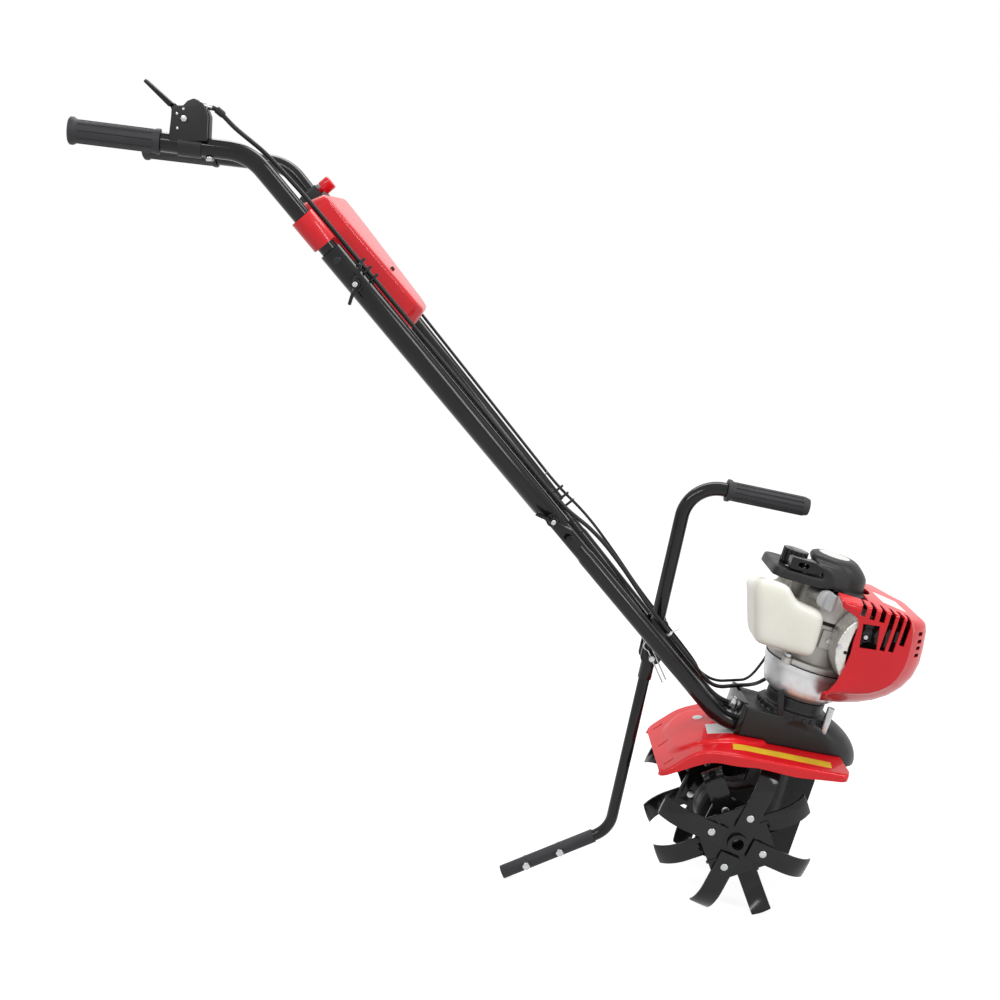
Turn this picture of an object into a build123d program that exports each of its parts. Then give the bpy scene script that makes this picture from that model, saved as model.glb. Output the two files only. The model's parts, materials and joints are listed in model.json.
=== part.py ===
"""Mini tiller: a small engine over a worm gear case, four tine stars, folding handle bars and a drag bar.

+X is forward, +Z up, and -Y is the operator's right. Millimetres and degrees.
The origin lies on the ground, in the middle of the machine's outline.
"""

import os
from math import asin, atan2, copysign, cos, degrees, pi, radians, sin, sqrt

from build123d import *

os.makedirs("parts", exist_ok=True)

# Tines and axle
axle_x = 276.2
tip_radius = 108
blade_width = 27
blade_thickness = 3
blade_root = 19
blade_bend_start = 70
blade_bend_radius = 46
blade_bend_angle = 60
outer_star_angle = 65
inner_star_angle = 20
plate_side = 90
plate_thickness = 3
outer_face = 102
inner_face = 79
rivet_circle = 38
rivet_radius = 3
rivet_head = 5
rivet_head_height = 1.8
axle_radius = 7
axle_half = 86
hub_radius = 13.5
hub_start = 48.5
hub_end = 110
socket_start = 88
socket_radius = 8
tine_pin_radius = 2.5
tine_pin_y = 66

# Gear case and drive, in the deck frame that leans forward
lean = 16
drive_u = 44
worm_turns = 5
worm_pitch_radius = 9
gear_module = 2
wheel_teeth = 35
tooth_foot = 3.3
tooth_crest = 1.2
tooth_sink = 0.6
wheel_half = 6
case_wall = 4
case_half = 23
column_radius = 32
column_flange = 44
column_flange_height = 10
boss_radius = 18
boss_end = 47
bush_wall = 3
keel_u = 108
keel_half = 4
keel_top = 75
keel_foot = -44
gear_top = 118
shaft_radius = 6
shaft_foot = -38
running = 0.06

# Fender: its side view along u and w, and half its plan along u and Y
fender_thickness = 2.5
fender_line = ((-122, 56), (-84, 101), (-36, 118.5), (114, 132))
fender_bends = (60, 120)
fender_plan = ((-122, 84), (-72, 84), (-28, 108), (114, 108))
fender_corner = 10
fender_foot = ((-124, 50), (-58, 96), (-10, 109), (45, 110.5), (116, 122.5))
fender_foot_bends = (60, 60, 100)
fender_floor = -60
fender_seat = 47
plateau_rise = 4
plateau_half = 58
plateau_rear = -106
plateau_front = 14
plateau_corner = 26
fender_slot = (9, 2.4)
fender_slot_u = -113
fender_slot_y = 66

# Upper housing and the handle plate; each level is a share of the height, a half width and the nose
housing_rear = -28
housing_rear_half = 44
housing_height = 47
housing_levels = ((0, 48, 148), (0.35, 47.5, 144), (0.7, 46.5, 130), (1, 44, 104))
housing_wall = 5
collar_radius = 48
collar_height = 9
neck_radius = 40
neck_height = 25
plate_u_thickness = 6
plate_half = 45
plate_foot = 123.5
plate_head = 170
plate_corner = 6
plate_bolts = (134, 153.5)
pillar_u = 82
pillar_y = 40
pillar_radius = 5
pillar_foot = 145
pillar_top = 194

# Clutch and engine; the bowl is given as radius and height over the neck
clutch_bowl = ((37, 0), (44, 4), (50, 9), (53.5, 18), (56, 32))
clutch_flange = 59
clutch_flange_height = 9
clutch_flange_width = 9
clutch_height = 49
clutch_wall = 4
clutch_clearance = 2
lug_angle = 45
lug_radius = 7
lug_height = 8
drum_radius = 35
drum_wall = 2.5
drum_lift = 7
drum_height = 24
drum_hub_height = 12
drum_hub_wall = 4
shoe_gap = 1
shoe_height = 18
shoe_slit = (40, 3)
shoe_slit_place = (18, 12)
crank_radius = 7
crank_web_radius = 28
crank_throw = 14
web_lift = 24
web_height = 9
pin_height = 24
case_radius = 44
case_height = 106
block_half = 34
block_reach = 12
flywheel_radius = 37
flywheel_sink = 17
flywheel_height = 12
fan_blades = 12
fan_blade = (11, 2.2)
cylinder_drop = 53
cylinder_core = 25
cylinder_length = 54
fin_count = 7
fin_side = 66
fin_corner = 12
fin_thickness = 2.2
port_side = 28
muffler_u = 100
muffler_drop = 24
muffler_gap = 5
muffler_size = (58, 40, 60)
muffler_screw = 7
shield_start = 14
shield_depth = 38
shield_outline = ((58, -17), (46, -43), (56, -87), (62, -95), (67, -85), (61, -45), (66, -17))
carburettor_u = 103
carburettor_gap = 1
carburettor_size = (28, 32, 36)
bowl_radius = 13
bowl_height = 16
cleaner_size = (58, 60)
cleaner_depth = 46
cleaner_u = 98
cleaner_corner = 14
cleaner_rounding = 9
cover_near = 88
cover_far = 72
cover_bulge = 42
cover_wall = 2.5
cover_side = ((30, 12), (127, 7), (141, -55), (112, -105), (62, -119))
cover_nose = ((30, 12), (166, -2), (178, -55), (148, -119), (70, -147))
cover_radii = (7, 60, 40)
cover_middle = (100, -50)
cover_rear_edge = ((60, -105), (66, -73), (60, -23))
cover_opening = (44, 200)
cover_opening_place = (50, -65)
louvre_width = 7
louvre_places = ((62, -4, 12), (74, -4, 12), (86, -4, 12), (98, -21, 44), (110, -20, 42), (121, -17, 36))
window_size = (23, 32)
window_corner = 2
window_place = (80, -30)
vent_size = (8, 4)
vent_u = 156
vent_drops = (16, 25, 34, 43)
tank_near = 75
tank_depth = 71
tank_outline = ((-76, 1), (-60, 4), (-34, 2), (-18, -16), (24, -23), (27, -86), (-54, -86), (-78, -18))
tank_corner = 6
tank_rounding = 9
tank_gap = 3
dome_radius = 38
dome_height = 44
dome_taper = 3
dome_rounding = 12
dome_wall = 2.5
flange_height = 4
shelf_lift = 5
shelf_height = 14
shelf_rear = -57
shelf_front = 22
shelf_near = 58
shelf_far = 40
shelf_corner = 16
shelf_taper = 8
shoulder_u = 15
shoulder_y = -16
shoulder_size = (18, 82)
shoulder_height = 31
pulley_radius = 24
pulley_lift = 22
pulley_height = 11
pulley_flange = 2
groove_depth = 6
rope_radius = 1.5
rope_length = 15
pull_rise = 10
pull_y = -48
pull_boss_u = 5
pull_boss_radius = 7
pull_boss_length = 14
pull_grip_length = 44
pull_grip_depth = 18
pull_grip_height = 16
pull_grip_waist = 12
pull_grip_hole = (14, 6)
grip_gap = 0.5
fuel_cap_u = -27
fuel_cap_y = -18
fuel_cap_radius = 17
fuel_cap_height = 28
fuel_cap_lobes = 18
fuel_neck_radius = 12
fuel_neck_depth = 39
neck_rise = 6
oil_u = 8
oil_y = -26
oil_drop = 7
oil_turn = 63
oil_neck_radius = 9
oil_neck_length = 25
oil_cap_radius = 12.5
oil_cap_height = 8
oil_flag = 14
oil_flag_width = 6
throttle_route = (
    (24, -105, -14), (9, -62, 3), (-9, -28, 24), (-6, 6, 54), (22, 36, 65), (58, 61, 63), (86, 75, 58),
)
wire_route = ((16, -84, 38), (-4, -44, 42), (-4, -6, 58), (30, 10, 70), (72, 18, 64), (100, 28, 44))

# Handle bars: pivot, corner and grip end of each side, with half widths
pivot_x = 51.7
pivot_z = 511.7
pivot_half = 68
corner_x = -328.3
corner_z = 986
corner_half = 136
grip_x = -527.3
grip_z = 1009.5
grip_half = 161.5
bar_radius = 11.1
bar_wall = 1.8
bar_bend = 60
foot_bend = 75
foot_w = 134.7
insert_radius = 10
insert_end = 52
insert_start = -30
notch_slack = 1.7
swage_length = 6
foot_past = 6
sleeve_radius = 14.3
sleeve_bore = 11.6
sleeve_length = 483
hole_inset = 15
wing_inset = 50
fold_relief = 19
upper_insert = 75
grip_length = 110
grip_radius = 15.5
grip_flutes = 10
grip_flange = 1.2
bolt_radius = 3
bolt_head = 6
washer_radius = 9
washer_thickness = 1.6
wing_span = 25
pivot_bolt_radius = 4

# Carry handle and drag bar, in the middle plane
stem_x = 167.3
stem_z = 332.5
stem_lean = 11.2
stem_radius = 9.55
stem_wall = 1.6
stem_foot = 35
stem_head = 242.8
stem_bend = 46
carry_reach = 162.6
carry_grip_length = 112
carry_grip_radius = 13
carry_flutes = 12
carry_flute = 1.3
carry_flute_start = 10
carry_rim = 2
carry_rim_width = 4
carry_taper = 7
grip_cap = 4
carry_slope = 12
drag_radius = 7.9
drag_drop = 263.3
drag_bend = 40
drag_end_x = -34.3
shoe_radius = 9.4
shoe_length = 140
shoe_bolts = (37, 88)
bracket_height = 64
bracket_width = 28
bracket_thickness = 3.5
bracket_drop = 10
bracket_corner = 8
cross_s = -191
cross_width = 110
cross_length = 25
hole_reach = 40
drag_lap = 14
shoe_sink = 0.92
hitch_radius = 4
hitch_near = 24
hitch_far = 15
hitch_head = 4
hitch_rim = 3
clip_y = -19
clip_wire = 1
clip_loop = 6
clip_leg = 38
clip_angle = -66
clip_turn = 42
clip_back = 10
clip_spare = 8

# Controls
console_start = 328
console_end = 534
console_foot = -6
console_rise = 42
console_waist = 474
console_gap = 4
console_tip_half = 62
console_corner = 24
console_taper = 16
console_rounding = 7
clamp_middle = 495
console_wall = 2.5
clamp_length = 41
clamp_radius = 15.5
arm_length = 34
arm_reach = 26
arm_height = 10
switch_s = 549
switch_length = 20
switch_ring = 20
switch_foot = -6
switch_top = 16
knob_stem = 4
stem_depth = 8
knob_radius = 9.5
knob_height = 15
knob_travel = 4
lever_x = -396.3
lever_z = 1018
lever_length = 61
lever_thickness = 4
lever_pin = 3
lever_distance = 66
bracket_ring = 14.5
bracket_ring_length = 16
stub_fall = 24
stub_radius = 4.5
stub_length = 20
lever_angle = 135.7
cable_radius = 2.75
wire_radius = 2

# The deck frame: u runs forward along the deck, w stands square to it, measured from the axle
side_angle = asin(blade_width / 2 / tip_radius)
axle_height = tip_radius * cos(radians(inner_star_angle) - side_angle)
axle_centre = Vector(axle_x, 0, axle_height)
along = Vector(cos(radians(lean)), 0, -sin(radians(lean)))
upright = Vector(sin(radians(lean)), 0, cos(radians(lean)))
across = Vector(0, 1, 0)
forward = Vector(1, 0, 0)


def deck(w, u=0, y=0):
    """A level of the deck frame, local axes u and Y, facing up the drive shaft."""
    return Plane(origin=axle_centre + along * u + across * y + upright * w, x_dir=along, z_dir=upright)


def flank(y=0):
    """A side view of the deck frame, local axes u and w, facing the operator's right."""
    return Plane(origin=axle_centre + across * y, x_dir=along, z_dir=-across)


def facing(u, y=0, w=0):
    """A plane across the deck, local axes Y and w, facing forward."""
    return Plane(origin=axle_centre + along * u + across * y + upright * w, x_dir=across, z_dir=along)


def spoke(angle, y, side):
    """A star's plane: local x along one blade, facing away from the middle of the machine."""
    direction = Vector(cos(radians(angle)), 0, sin(radians(angle)))
    return Plane(origin=axle_centre + across * (side * y), x_dir=direction, z_dir=across * side)


def across_at(x, z, y=0):
    """A plane square to Y, facing the operator's right."""
    return Plane(origin=(x, y, z), x_dir=forward, z_dir=-across)


def round_bar(plane, radius, height):
    """A plain round bar that stands on a plane."""
    with BuildPart() as bar:
        with BuildSketch(plane):
            Circle(radius)
        extrude(amount=height)
    return bar.part


def hex_head(plane, radius, height):
    """A hexagon head that stands on a plane."""
    with BuildPart() as head:
        with BuildSketch(plane):
            RegularPolygon(radius, 6)
        extrude(amount=height)
    return head.part


def keep(part, name):
    """Names a finished piece and writes it."""
    part.label = name
    export_step(part, f"parts/{name}.step")


def on_case(points):
    """Points given along u and from the crankcase's top, in the side view of the deck frame."""
    return [(u, crankcase_top + rise) for u, rise in points]


# Levels up the drive shaft
housing_top = gear_top + housing_height
neck_top = housing_top + neck_height
drum_foot = neck_top + drum_lift
clutch_top = neck_top + clutch_height
crankcase_top = clutch_top + case_height
cylinder_w = crankcase_top - cylinder_drop
shelf_foot = crankcase_top + shelf_lift
shelf_top = shelf_foot + shelf_height
dome_top = crankcase_top + dome_height
pulley_foot = crankcase_top + pulley_lift
pull_w = shelf_top + pull_rise

drive_axis = Axis(deck(0, drive_u).origin, upright)
right, left = -1, 1
side_names = {right: "right", left: "left"}

# Tines: each side has a hub with two square plates, and four bent blades on each plate
stars = [(outer_star_angle, outer_face, (-1, -1, -1, -1)), (inner_star_angle, inner_face, (-1, 1, -1, 1))]


def blade(plane, bend):
    """A flat bar, bent out of its plane towards its tip."""
    with BuildPart() as bar:
        with BuildSketch(Plane(plane.origin, x_dir=plane.x_dir, z_dir=-plane.y_dir)):
            with BuildLine():
                flat = Line((blade_root, blade_thickness / 2), (blade_bend_start, blade_thickness / 2))
                JernArc(flat @ 1, flat % 1, blade_bend_radius, bend * blade_bend_angle)
            trace(line_width=blade_thickness)
        extrude(amount=blade_width / 2, both=True)
        with BuildSketch(plane):
            Circle(tip_radius)
            with Locations((rivet_circle, 0)):
                Circle(rivet_radius, mode=Mode.SUBTRACT)
        extrude(amount=tip_radius / 2, both=True, mode=Mode.INTERSECT)
    return bar.part


def rivet(plane):
    """A round-headed rivet through a blade and its plate."""
    with BuildPart() as pin:
        with BuildSketch(Plane(plane.origin + plane.x_dir * rivet_circle, plane.x_dir, -plane.y_dir)):
            with BuildLine():
                foot = -plate_thickness - rivet_head_height
                top = blade_thickness + rivet_head_height
                bevel = rivet_head_height / 2
                Polyline(
                    (0, foot), (rivet_head, foot), (rivet_head, -plate_thickness),
                    (rivet_radius, -plate_thickness), (rivet_radius, blade_thickness),
                    (rivet_head, blade_thickness), (rivet_head, top - bevel),
                    (rivet_head - 2 * bevel, top), (0, top), close=True,
                )
            make_face()
        revolve(axis=Axis(plane.origin + plane.x_dir * rivet_circle, plane.z_dir))
    return pin.part


with BuildPart() as tine_rivets:
    for side in (right, left):
        for angle, face_y, bends in stars:
            for step in range(4):
                add(rivet(spoke(angle + 90 * step, face_y, side)))
        pin_top = deck(hub_radius + rivet_head_height, 0, side * tine_pin_y)
        add(round_bar(pin_top, tine_pin_radius, -2 * (hub_radius + rivet_head_height)))
keep(tine_rivets.part, "tine_pins_and_rivets")

for side in (right, left):
    with BuildPart() as hub:
        with BuildSketch(spoke(0, hub_start, side)):
            Circle(hub_radius)
        extrude(amount=hub_end - hub_start)
        for angle, face_y, bends in stars:
            with BuildSketch(spoke(angle, face_y - plate_thickness, side)):
                RegularPolygon(plate_side / sqrt(2), 4, rotation=0)
                with PolarLocations(rivet_circle, 4):
                    Circle(rivet_radius, mode=Mode.SUBTRACT)
            extrude(amount=plate_thickness)
        with BuildSketch(spoke(0, hub_start, side)):
            Circle(axle_radius)
        extrude(amount=hub_end - hub_start, mode=Mode.SUBTRACT)
        with BuildSketch(spoke(0, socket_start, side)):
            Circle(socket_radius)
        extrude(amount=hub_end - socket_start, mode=Mode.SUBTRACT)
        with BuildSketch(deck(0, 0, side * tine_pin_y)):
            Circle(tine_pin_radius)
        extrude(amount=2 * hub_radius, both=True, mode=Mode.SUBTRACT)
    keep(hub.part, f"tine_hub_{side_names[side]}")
    with BuildPart() as blades:
        for angle, face_y, bends in stars:
            for step, bend in enumerate(bends):
                add(blade(spoke(angle + 90 * step, face_y, side), bend))
    keep(blades.part, f"tine_blades_{side_names[side]}")

with BuildPart() as tine_axle:
    with BuildSketch(flank()):
        Circle(axle_radius)
    extrude(amount=axle_half, both=True)
    for side in (right, left):
        with BuildSketch(deck(0, 0, side * tine_pin_y)):
            Circle(tine_pin_radius)
        extrude(amount=2 * axle_radius, both=True, mode=Mode.SUBTRACT)
keep(tine_axle.part, "tine_axle")

# Worm drive: a single-start worm on the drive shaft turns a wheel on the axle
wheel_pitch_radius = gear_module * wheel_teeth / 2
wheel_tip = wheel_pitch_radius + gear_module
wheel_root = wheel_pitch_radius - 1.25 * gear_module
worm_lead = pi * gear_module
worm_tip = worm_pitch_radius + gear_module
worm_root = worm_pitch_radius - 1.25 * gear_module

with BuildPart() as worm_wheel:
    with BuildSketch(flank()):
        Circle(wheel_root)
        tooth_height = wheel_tip - wheel_root + tooth_sink
        flank_angle = degrees(atan2(2 * tooth_height, tooth_foot - tooth_crest))
        with PolarLocations(wheel_tip - tooth_height / 2, wheel_teeth, start_angle=180 / wheel_teeth):
            Trapezoid(tooth_foot, tooth_height, flank_angle, rotation=-90)
        Circle(axle_radius, mode=Mode.SUBTRACT)
    extrude(amount=wheel_half, both=True)
keep(worm_wheel.part, "worm_wheel")

worm_half = worm_turns * worm_lead / 2
shaft_top = drum_foot + drum_wall
thread = deck(-worm_half, drive_u).location * Helix(worm_lead, 2 * worm_half, worm_root - tooth_sink)
with BuildPart() as drive_shaft:
    with BuildSketch(deck(shaft_foot, drive_u)):
        Circle(shaft_radius)
    extrude(amount=shaft_top - shaft_foot)
    with BuildSketch(deck(-worm_half - worm_lead, drive_u)):
        Circle(worm_root)
    extrude(amount=2 * (worm_half + worm_lead))
    with BuildSketch(Plane(origin=thread @ 0, x_dir=along, z_dir=thread % 0)):
        with BuildLine():
            depth = worm_tip - worm_root + tooth_sink
            foot, crest = tooth_foot / 2, tooth_crest / 2
            Polyline((0, -foot), (depth, -crest), (depth, crest), (0, foot), close=True)
        make_face()
    sweep(path=thread, is_frenet=True)
keep(drive_shaft.part, "drive_shaft")

# Gear case: two halves that meet on the middle plane
case_radius_u = wheel_tip + case_wall
for side in (right, left):
    with BuildPart() as gear_case:
        with BuildSketch(flank()):
            Circle(case_radius_u)
            with BuildLine():
                Polyline(
                    (0, case_radius_u), (drive_u, case_radius_u + 22), (drive_u + worm_tip + case_wall, 30),
                    (drive_u + worm_tip + case_wall, shaft_foot), (drive_u, shaft_foot - case_wall),
                    (0, -case_radius_u), close=True,
                )
            make_face()
        extrude(amount=-side * case_half)
        fillet(gear_case.faces().sort_by(Axis.Y)[-1 if side == left else 0].edges(), 6)
        with BuildSketch(deck(shaft_foot + 20, drive_u)):
            Circle(column_radius)
            with Locations((0, -side * column_radius)):
                Rectangle(4 * column_radius, 2 * column_radius, mode=Mode.SUBTRACT)
        extrude(amount=gear_top - shaft_foot - 20, taper=2)
        with BuildSketch(deck(gear_top - column_flange_height, drive_u)):
            Circle(column_flange)
            with Locations((0, -side * column_flange)):
                Rectangle(4 * column_flange, 2 * column_flange, mode=Mode.SUBTRACT)
        extrude(amount=column_flange_height)
        with BuildSketch(flank()):
            with BuildLine():
                Polyline(
                    (drive_u, gear_top - 4), (keel_u - 10, gear_top - 4), (keel_u, keel_top),
                    (keel_u, keel_foot), (drive_u + 20, keel_foot - 24), (0, 4 - case_radius_u), close=True,
                )
            make_face()
        extrude(amount=-side * keel_half)
        with BuildSketch(flank()):
            Circle(boss_radius)
        extrude(amount=-side * boss_end)
        with BuildSketch(flank()):
            Circle(wheel_tip + 1)
        extrude(amount=(wheel_half + 1.5), both=True, mode=Mode.SUBTRACT)
        with BuildSketch(deck(-worm_half - worm_lead - 2, drive_u)):
            Circle(worm_tip + 1)
        extrude(amount=2 * (worm_half + worm_lead + 2), mode=Mode.SUBTRACT)
        with BuildSketch(deck(shaft_foot - 1, drive_u)):
            Circle(shaft_radius + running)
        extrude(amount=gear_top - shaft_foot + 2, mode=Mode.SUBTRACT)
        with BuildSketch(flank()):
            Circle(axle_radius + bush_wall)
        extrude(amount=-side * (boss_end + 1), mode=Mode.SUBTRACT)
    keep(gear_case.part, f"gear_case_{side_names[side]}")

with BuildPart() as axle_bushes:
    for side in (right, left):
        with BuildSketch(spoke(0, wheel_half + 1.5, side)):
            Circle(axle_radius + bush_wall)
            Circle(axle_radius + running, mode=Mode.SUBTRACT)
        extrude(amount=boss_end - wheel_half - 1.5)
keep(axle_bushes.part, "axle_bushes")

# Fender: a pressed sheet over the tines, turned down along both sides, with a raised field at the rear
def fender_view(drop):
    """The fender's side view, lowered and closed far below its foot."""
    with BuildSketch(flank()) as view:
        with BuildLine():
            top = FilletPolyline(*[(u, w - drop) for u, w in fender_line], radius=fender_bends)
            Polyline(top @ 1, (fender_line[-1][0], fender_floor), (fender_line[0][0], fender_floor), top @ 0)
        make_face()
    return view.sketch


def fender_block(inset):
    """The fender's outside down past its foot, or its inside, which runs out at both ends."""
    past = 2 * fender_corner if inset else 0
    ends = (fender_plan[0][0] - past, *[u for u, y in fender_plan[1:-1]], fender_plan[-1][0] + past)
    outline = [(end, y - inset) for end, (u, y) in zip(ends, fender_plan)]
    with BuildPart() as block:
        extrude(fender_view(inset), amount=fender_plan[-1][1], both=True)
        with BuildSketch(deck(fender_floor)):
            with BuildLine():
                mirrored = [(u, -y) for u, y in reversed(outline)]
                FilletPolyline(*outline, *mirrored, radius=fender_corner, close=True)
            make_face()
        extrude(amount=neck_top - fender_floor, mode=Mode.INTERSECT)
    return block.part


def fender_field(inset):
    """The raised field of the fender, or its hollow side."""
    with BuildPart() as field:
        extrude(fender_view(inset - plateau_rise), amount=plateau_half, both=True)
        with BuildSketch(deck(fender_foot[0][1], (plateau_front + plateau_rear) / 2)):
            RectangleRounded(
                plateau_front - plateau_rear - 2 * inset, 2 * (plateau_half - inset), plateau_corner - inset,
            )
        extrude(amount=neck_top, mode=Mode.INTERSECT)
    return field.part


with BuildPart() as fender_pad:
    add(fender_block(0))
    with BuildSketch(deck(gear_top, drive_u)):
        Circle(fender_seat)
    extrude(amount=housing_height, mode=Mode.INTERSECT)

with BuildPart() as fender:
    add(fender_block(0))
    add(fender_field(0))
    with BuildSketch(flank()):
        with BuildLine():
            foot = FilletPolyline(*fender_foot, radius=fender_foot_bends)
            Polyline(foot @ 1, (fender_foot[-1][0], neck_top), (fender_foot[0][0], neck_top), foot @ 0)
        make_face()
    extrude(amount=fender_plan[-1][1], both=True, mode=Mode.INTERSECT)
    add(fender_block(fender_thickness), mode=Mode.SUBTRACT)
    add(fender_field(fender_thickness), mode=Mode.SUBTRACT)
    add(fender_pad.part)
    with BuildSketch(deck(gear_top, drive_u)):
        Circle(shaft_radius + 2 * housing_wall)
    extrude(amount=housing_height, mode=Mode.SUBTRACT)
    with BuildSketch(deck(fender_foot[0][1], fender_slot_u)):
        for y in (-fender_slot_y, 0, fender_slot_y):
            with Locations((0, y)):
                SlotOverall(*fender_slot)
    extrude(amount=housing_height, mode=Mode.SUBTRACT)
keep(fender.part, "fender")


# Upper housing: a moulded hood from the fender to the clutch, with a round nose in front
def hood(w, inset, half, nose):
    """One level of the hood: square at the rear and round at the nose."""
    with BuildSketch(deck(w)) as level:
        with BuildLine():
            rear, start = housing_rear + inset, nose - half
            Line((rear, inset - housing_rear_half), (start, inset - half))
            ThreePointArc((start, inset - half), (nose - inset, 0), (start, half - inset))
            Line((start, half - inset), (rear, housing_rear_half - inset))
            Line((rear, housing_rear_half - inset), (rear, inset - housing_rear_half))
        make_face()
    return level.sketch


def hood_block(inset):
    """The hood's outside, or its hollow with the wall taken off."""
    with BuildPart() as block:
        loft([
            hood(gear_top + share * (housing_height - inset), inset, half, nose)
            for share, half, nose in housing_levels
        ])
    return block.part


with BuildPart() as upper_housing:
    add(hood_block(0))
    with BuildSketch(deck(housing_top - collar_height, drive_u)):
        Circle(collar_radius)
    extrude(amount=2 * collar_height)
    with BuildSketch(deck(housing_top, drive_u)):
        Circle(neck_radius)
    extrude(amount=neck_height)
    add(hood_block(housing_wall), mode=Mode.SUBTRACT)
    add(fender_block(0), mode=Mode.SUBTRACT)
    add(fender_field(0), mode=Mode.SUBTRACT)
    with BuildSketch(deck(gear_top + 1, drive_u)):
        Circle(shaft_radius + housing_wall)
    extrude(amount=housing_height - 1)
    with BuildSketch(deck(housing_top, drive_u)):
        Circle(neck_radius - housing_wall)
    extrude(amount=neck_height, mode=Mode.SUBTRACT)
    with BuildSketch(deck(gear_top, drive_u)):
        Circle(shaft_radius + running)
    extrude(amount=housing_height + neck_height, mode=Mode.SUBTRACT)
    for w in plate_bolts:
        add(round_bar(facing(housing_rear - 1, 0, w), bolt_radius, housing_wall + 2), mode=Mode.SUBTRACT)
keep(upper_housing.part, "upper_housing")

# Clutch: a drum on the drive shaft round two shoes on the crankshaft
with BuildPart() as clutch_drum:
    with BuildSketch(deck(drum_foot, drive_u)):
        Circle(drum_radius)
    extrude(amount=drum_height)
    with BuildSketch(deck(drum_foot + drum_wall, drive_u)):
        Circle(drum_radius - drum_wall)
    extrude(amount=drum_height, mode=Mode.SUBTRACT)
    with BuildSketch(deck(drum_foot - drum_hub_height, drive_u)):
        Circle(shaft_radius + drum_hub_wall)
    extrude(amount=drum_hub_height)
    with BuildSketch(deck(drum_foot - drum_hub_height, drive_u)):
        Circle(shaft_radius)
    extrude(amount=drum_hub_height + drum_wall, mode=Mode.SUBTRACT)
keep(clutch_drum.part, "clutch_drum")

shoe_foot = drum_foot + drum_wall + clutch_clearance
with BuildPart() as clutch_shoes:
    with BuildSketch(deck(shoe_foot, drive_u)):
        Circle(drum_radius - drum_wall - shoe_gap)
        with PolarLocations(0, 2):
            with Locations(shoe_slit_place):
                Rectangle(*shoe_slit, mode=Mode.SUBTRACT)
        Circle(crank_radius, mode=Mode.SUBTRACT)
    extrude(amount=shoe_height)
keep(clutch_shoes.part, "clutch_shoes")

with BuildPart() as clutch_housing:
    with BuildSketch(flank()):
        with BuildLine():
            outside = [(drive_u + radius, neck_top + height) for radius, height in clutch_bowl]
            inside = [(u - clutch_wall, w + clutch_wall) for u, w in reversed(outside)]
            rim_u, rim_w = drive_u + clutch_flange, clutch_top - clutch_flange_height
            Polyline(
                *outside, (outside[-1][0], rim_w), (rim_u, rim_w), (rim_u, clutch_top),
                (rim_u - clutch_flange_width, clutch_top), (rim_u - clutch_flange_width, rim_w), *inside,
                (inside[-1][0], neck_top), close=True,
            )
        make_face()
    revolve(axis=drive_axis)
keep(clutch_housing.part, "clutch_housing")

# Engine block: crankcase, finned cylinder, crankshaft and flywheel
web_foot = clutch_top + web_lift
web_end = web_foot + 2 * web_height + pin_height
with BuildPart() as crankshaft:
    with BuildSketch(deck(shoe_foot, drive_u)):
        Circle(crank_radius)
    extrude(amount=web_foot - shoe_foot)
    for foot in (web_foot, web_foot + web_height + pin_height):
        with BuildSketch(deck(foot, drive_u)):
            Circle(crank_web_radius)
        extrude(amount=web_height)
    with BuildSketch(deck(web_foot + web_height, drive_u + crank_throw)):
        Circle(crank_radius)
    extrude(amount=pin_height)
    with BuildSketch(deck(web_end, drive_u)):
        Circle(crank_radius)
    extrude(amount=pulley_foot - clutch_clearance - web_end)
keep(crankshaft.part, "crankshaft")

flywheel_foot = crankcase_top - flywheel_sink
with BuildPart() as flywheel:
    with BuildSketch(deck(flywheel_foot, drive_u)):
        Circle(flywheel_radius)
        Circle(crank_radius, mode=Mode.SUBTRACT)
    extrude(amount=flywheel_height / 3)
    with BuildSketch(deck(flywheel_foot, drive_u)):
        Circle(flywheel_radius - fan_blade[0] + 1)
        Circle(crank_radius, mode=Mode.SUBTRACT)
    extrude(amount=flywheel_height)
    with BuildSketch(deck(flywheel_foot, drive_u)):
        with PolarLocations(flywheel_radius - fan_blade[0] / 2, fan_blades):
            Rectangle(*fan_blade)
    extrude(amount=flywheel_height)
keep(flywheel.part, "flywheel")

oil_axis = along * cos(radians(oil_turn)) - across * sin(radians(oil_turn))
oil_base = deck(crankcase_top - oil_drop, oil_u, oil_y).origin
chamber_foot = web_foot - clutch_wall
chamber_top = web_end + clutch_wall
fan_floor = flywheel_foot - clutch_clearance
with BuildPart() as crankcase:
    with BuildSketch(deck(clutch_top, drive_u)):
        Circle(clutch_flange - 1)
        with PolarLocations(clutch_flange, 4, start_angle=lug_angle):
            Circle(lug_radius)
    extrude(amount=lug_height)
    with BuildSketch(deck(clutch_top, drive_u)):
        Circle(case_radius)
    extrude(amount=case_height)
    with BuildSketch(deck(clutch_top + lug_height, drive_u + (case_radius + block_reach) / 2)):
        RectangleRounded(case_radius + block_reach, 2 * block_half, lug_radius)
    extrude(amount=fan_floor - clutch_top - lug_height)
    with BuildSketch(Plane(oil_base, z_dir=oil_axis)):
        Circle(oil_neck_radius)
    extrude(amount=oil_neck_length)
    with BuildSketch(deck(chamber_foot, drive_u)):
        Circle(crank_web_radius + clutch_clearance)
    extrude(amount=chamber_top - chamber_foot, mode=Mode.SUBTRACT)
    with BuildSketch(deck(fan_floor, drive_u)):
        Circle(flywheel_radius + clutch_clearance)
    extrude(amount=crankcase_top - fan_floor, mode=Mode.SUBTRACT)
    with BuildSketch(deck(clutch_top, drive_u)):
        Circle(crank_radius + running)
    extrude(amount=case_height, mode=Mode.SUBTRACT)
keep(crankcase.part, "crankcase")

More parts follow.
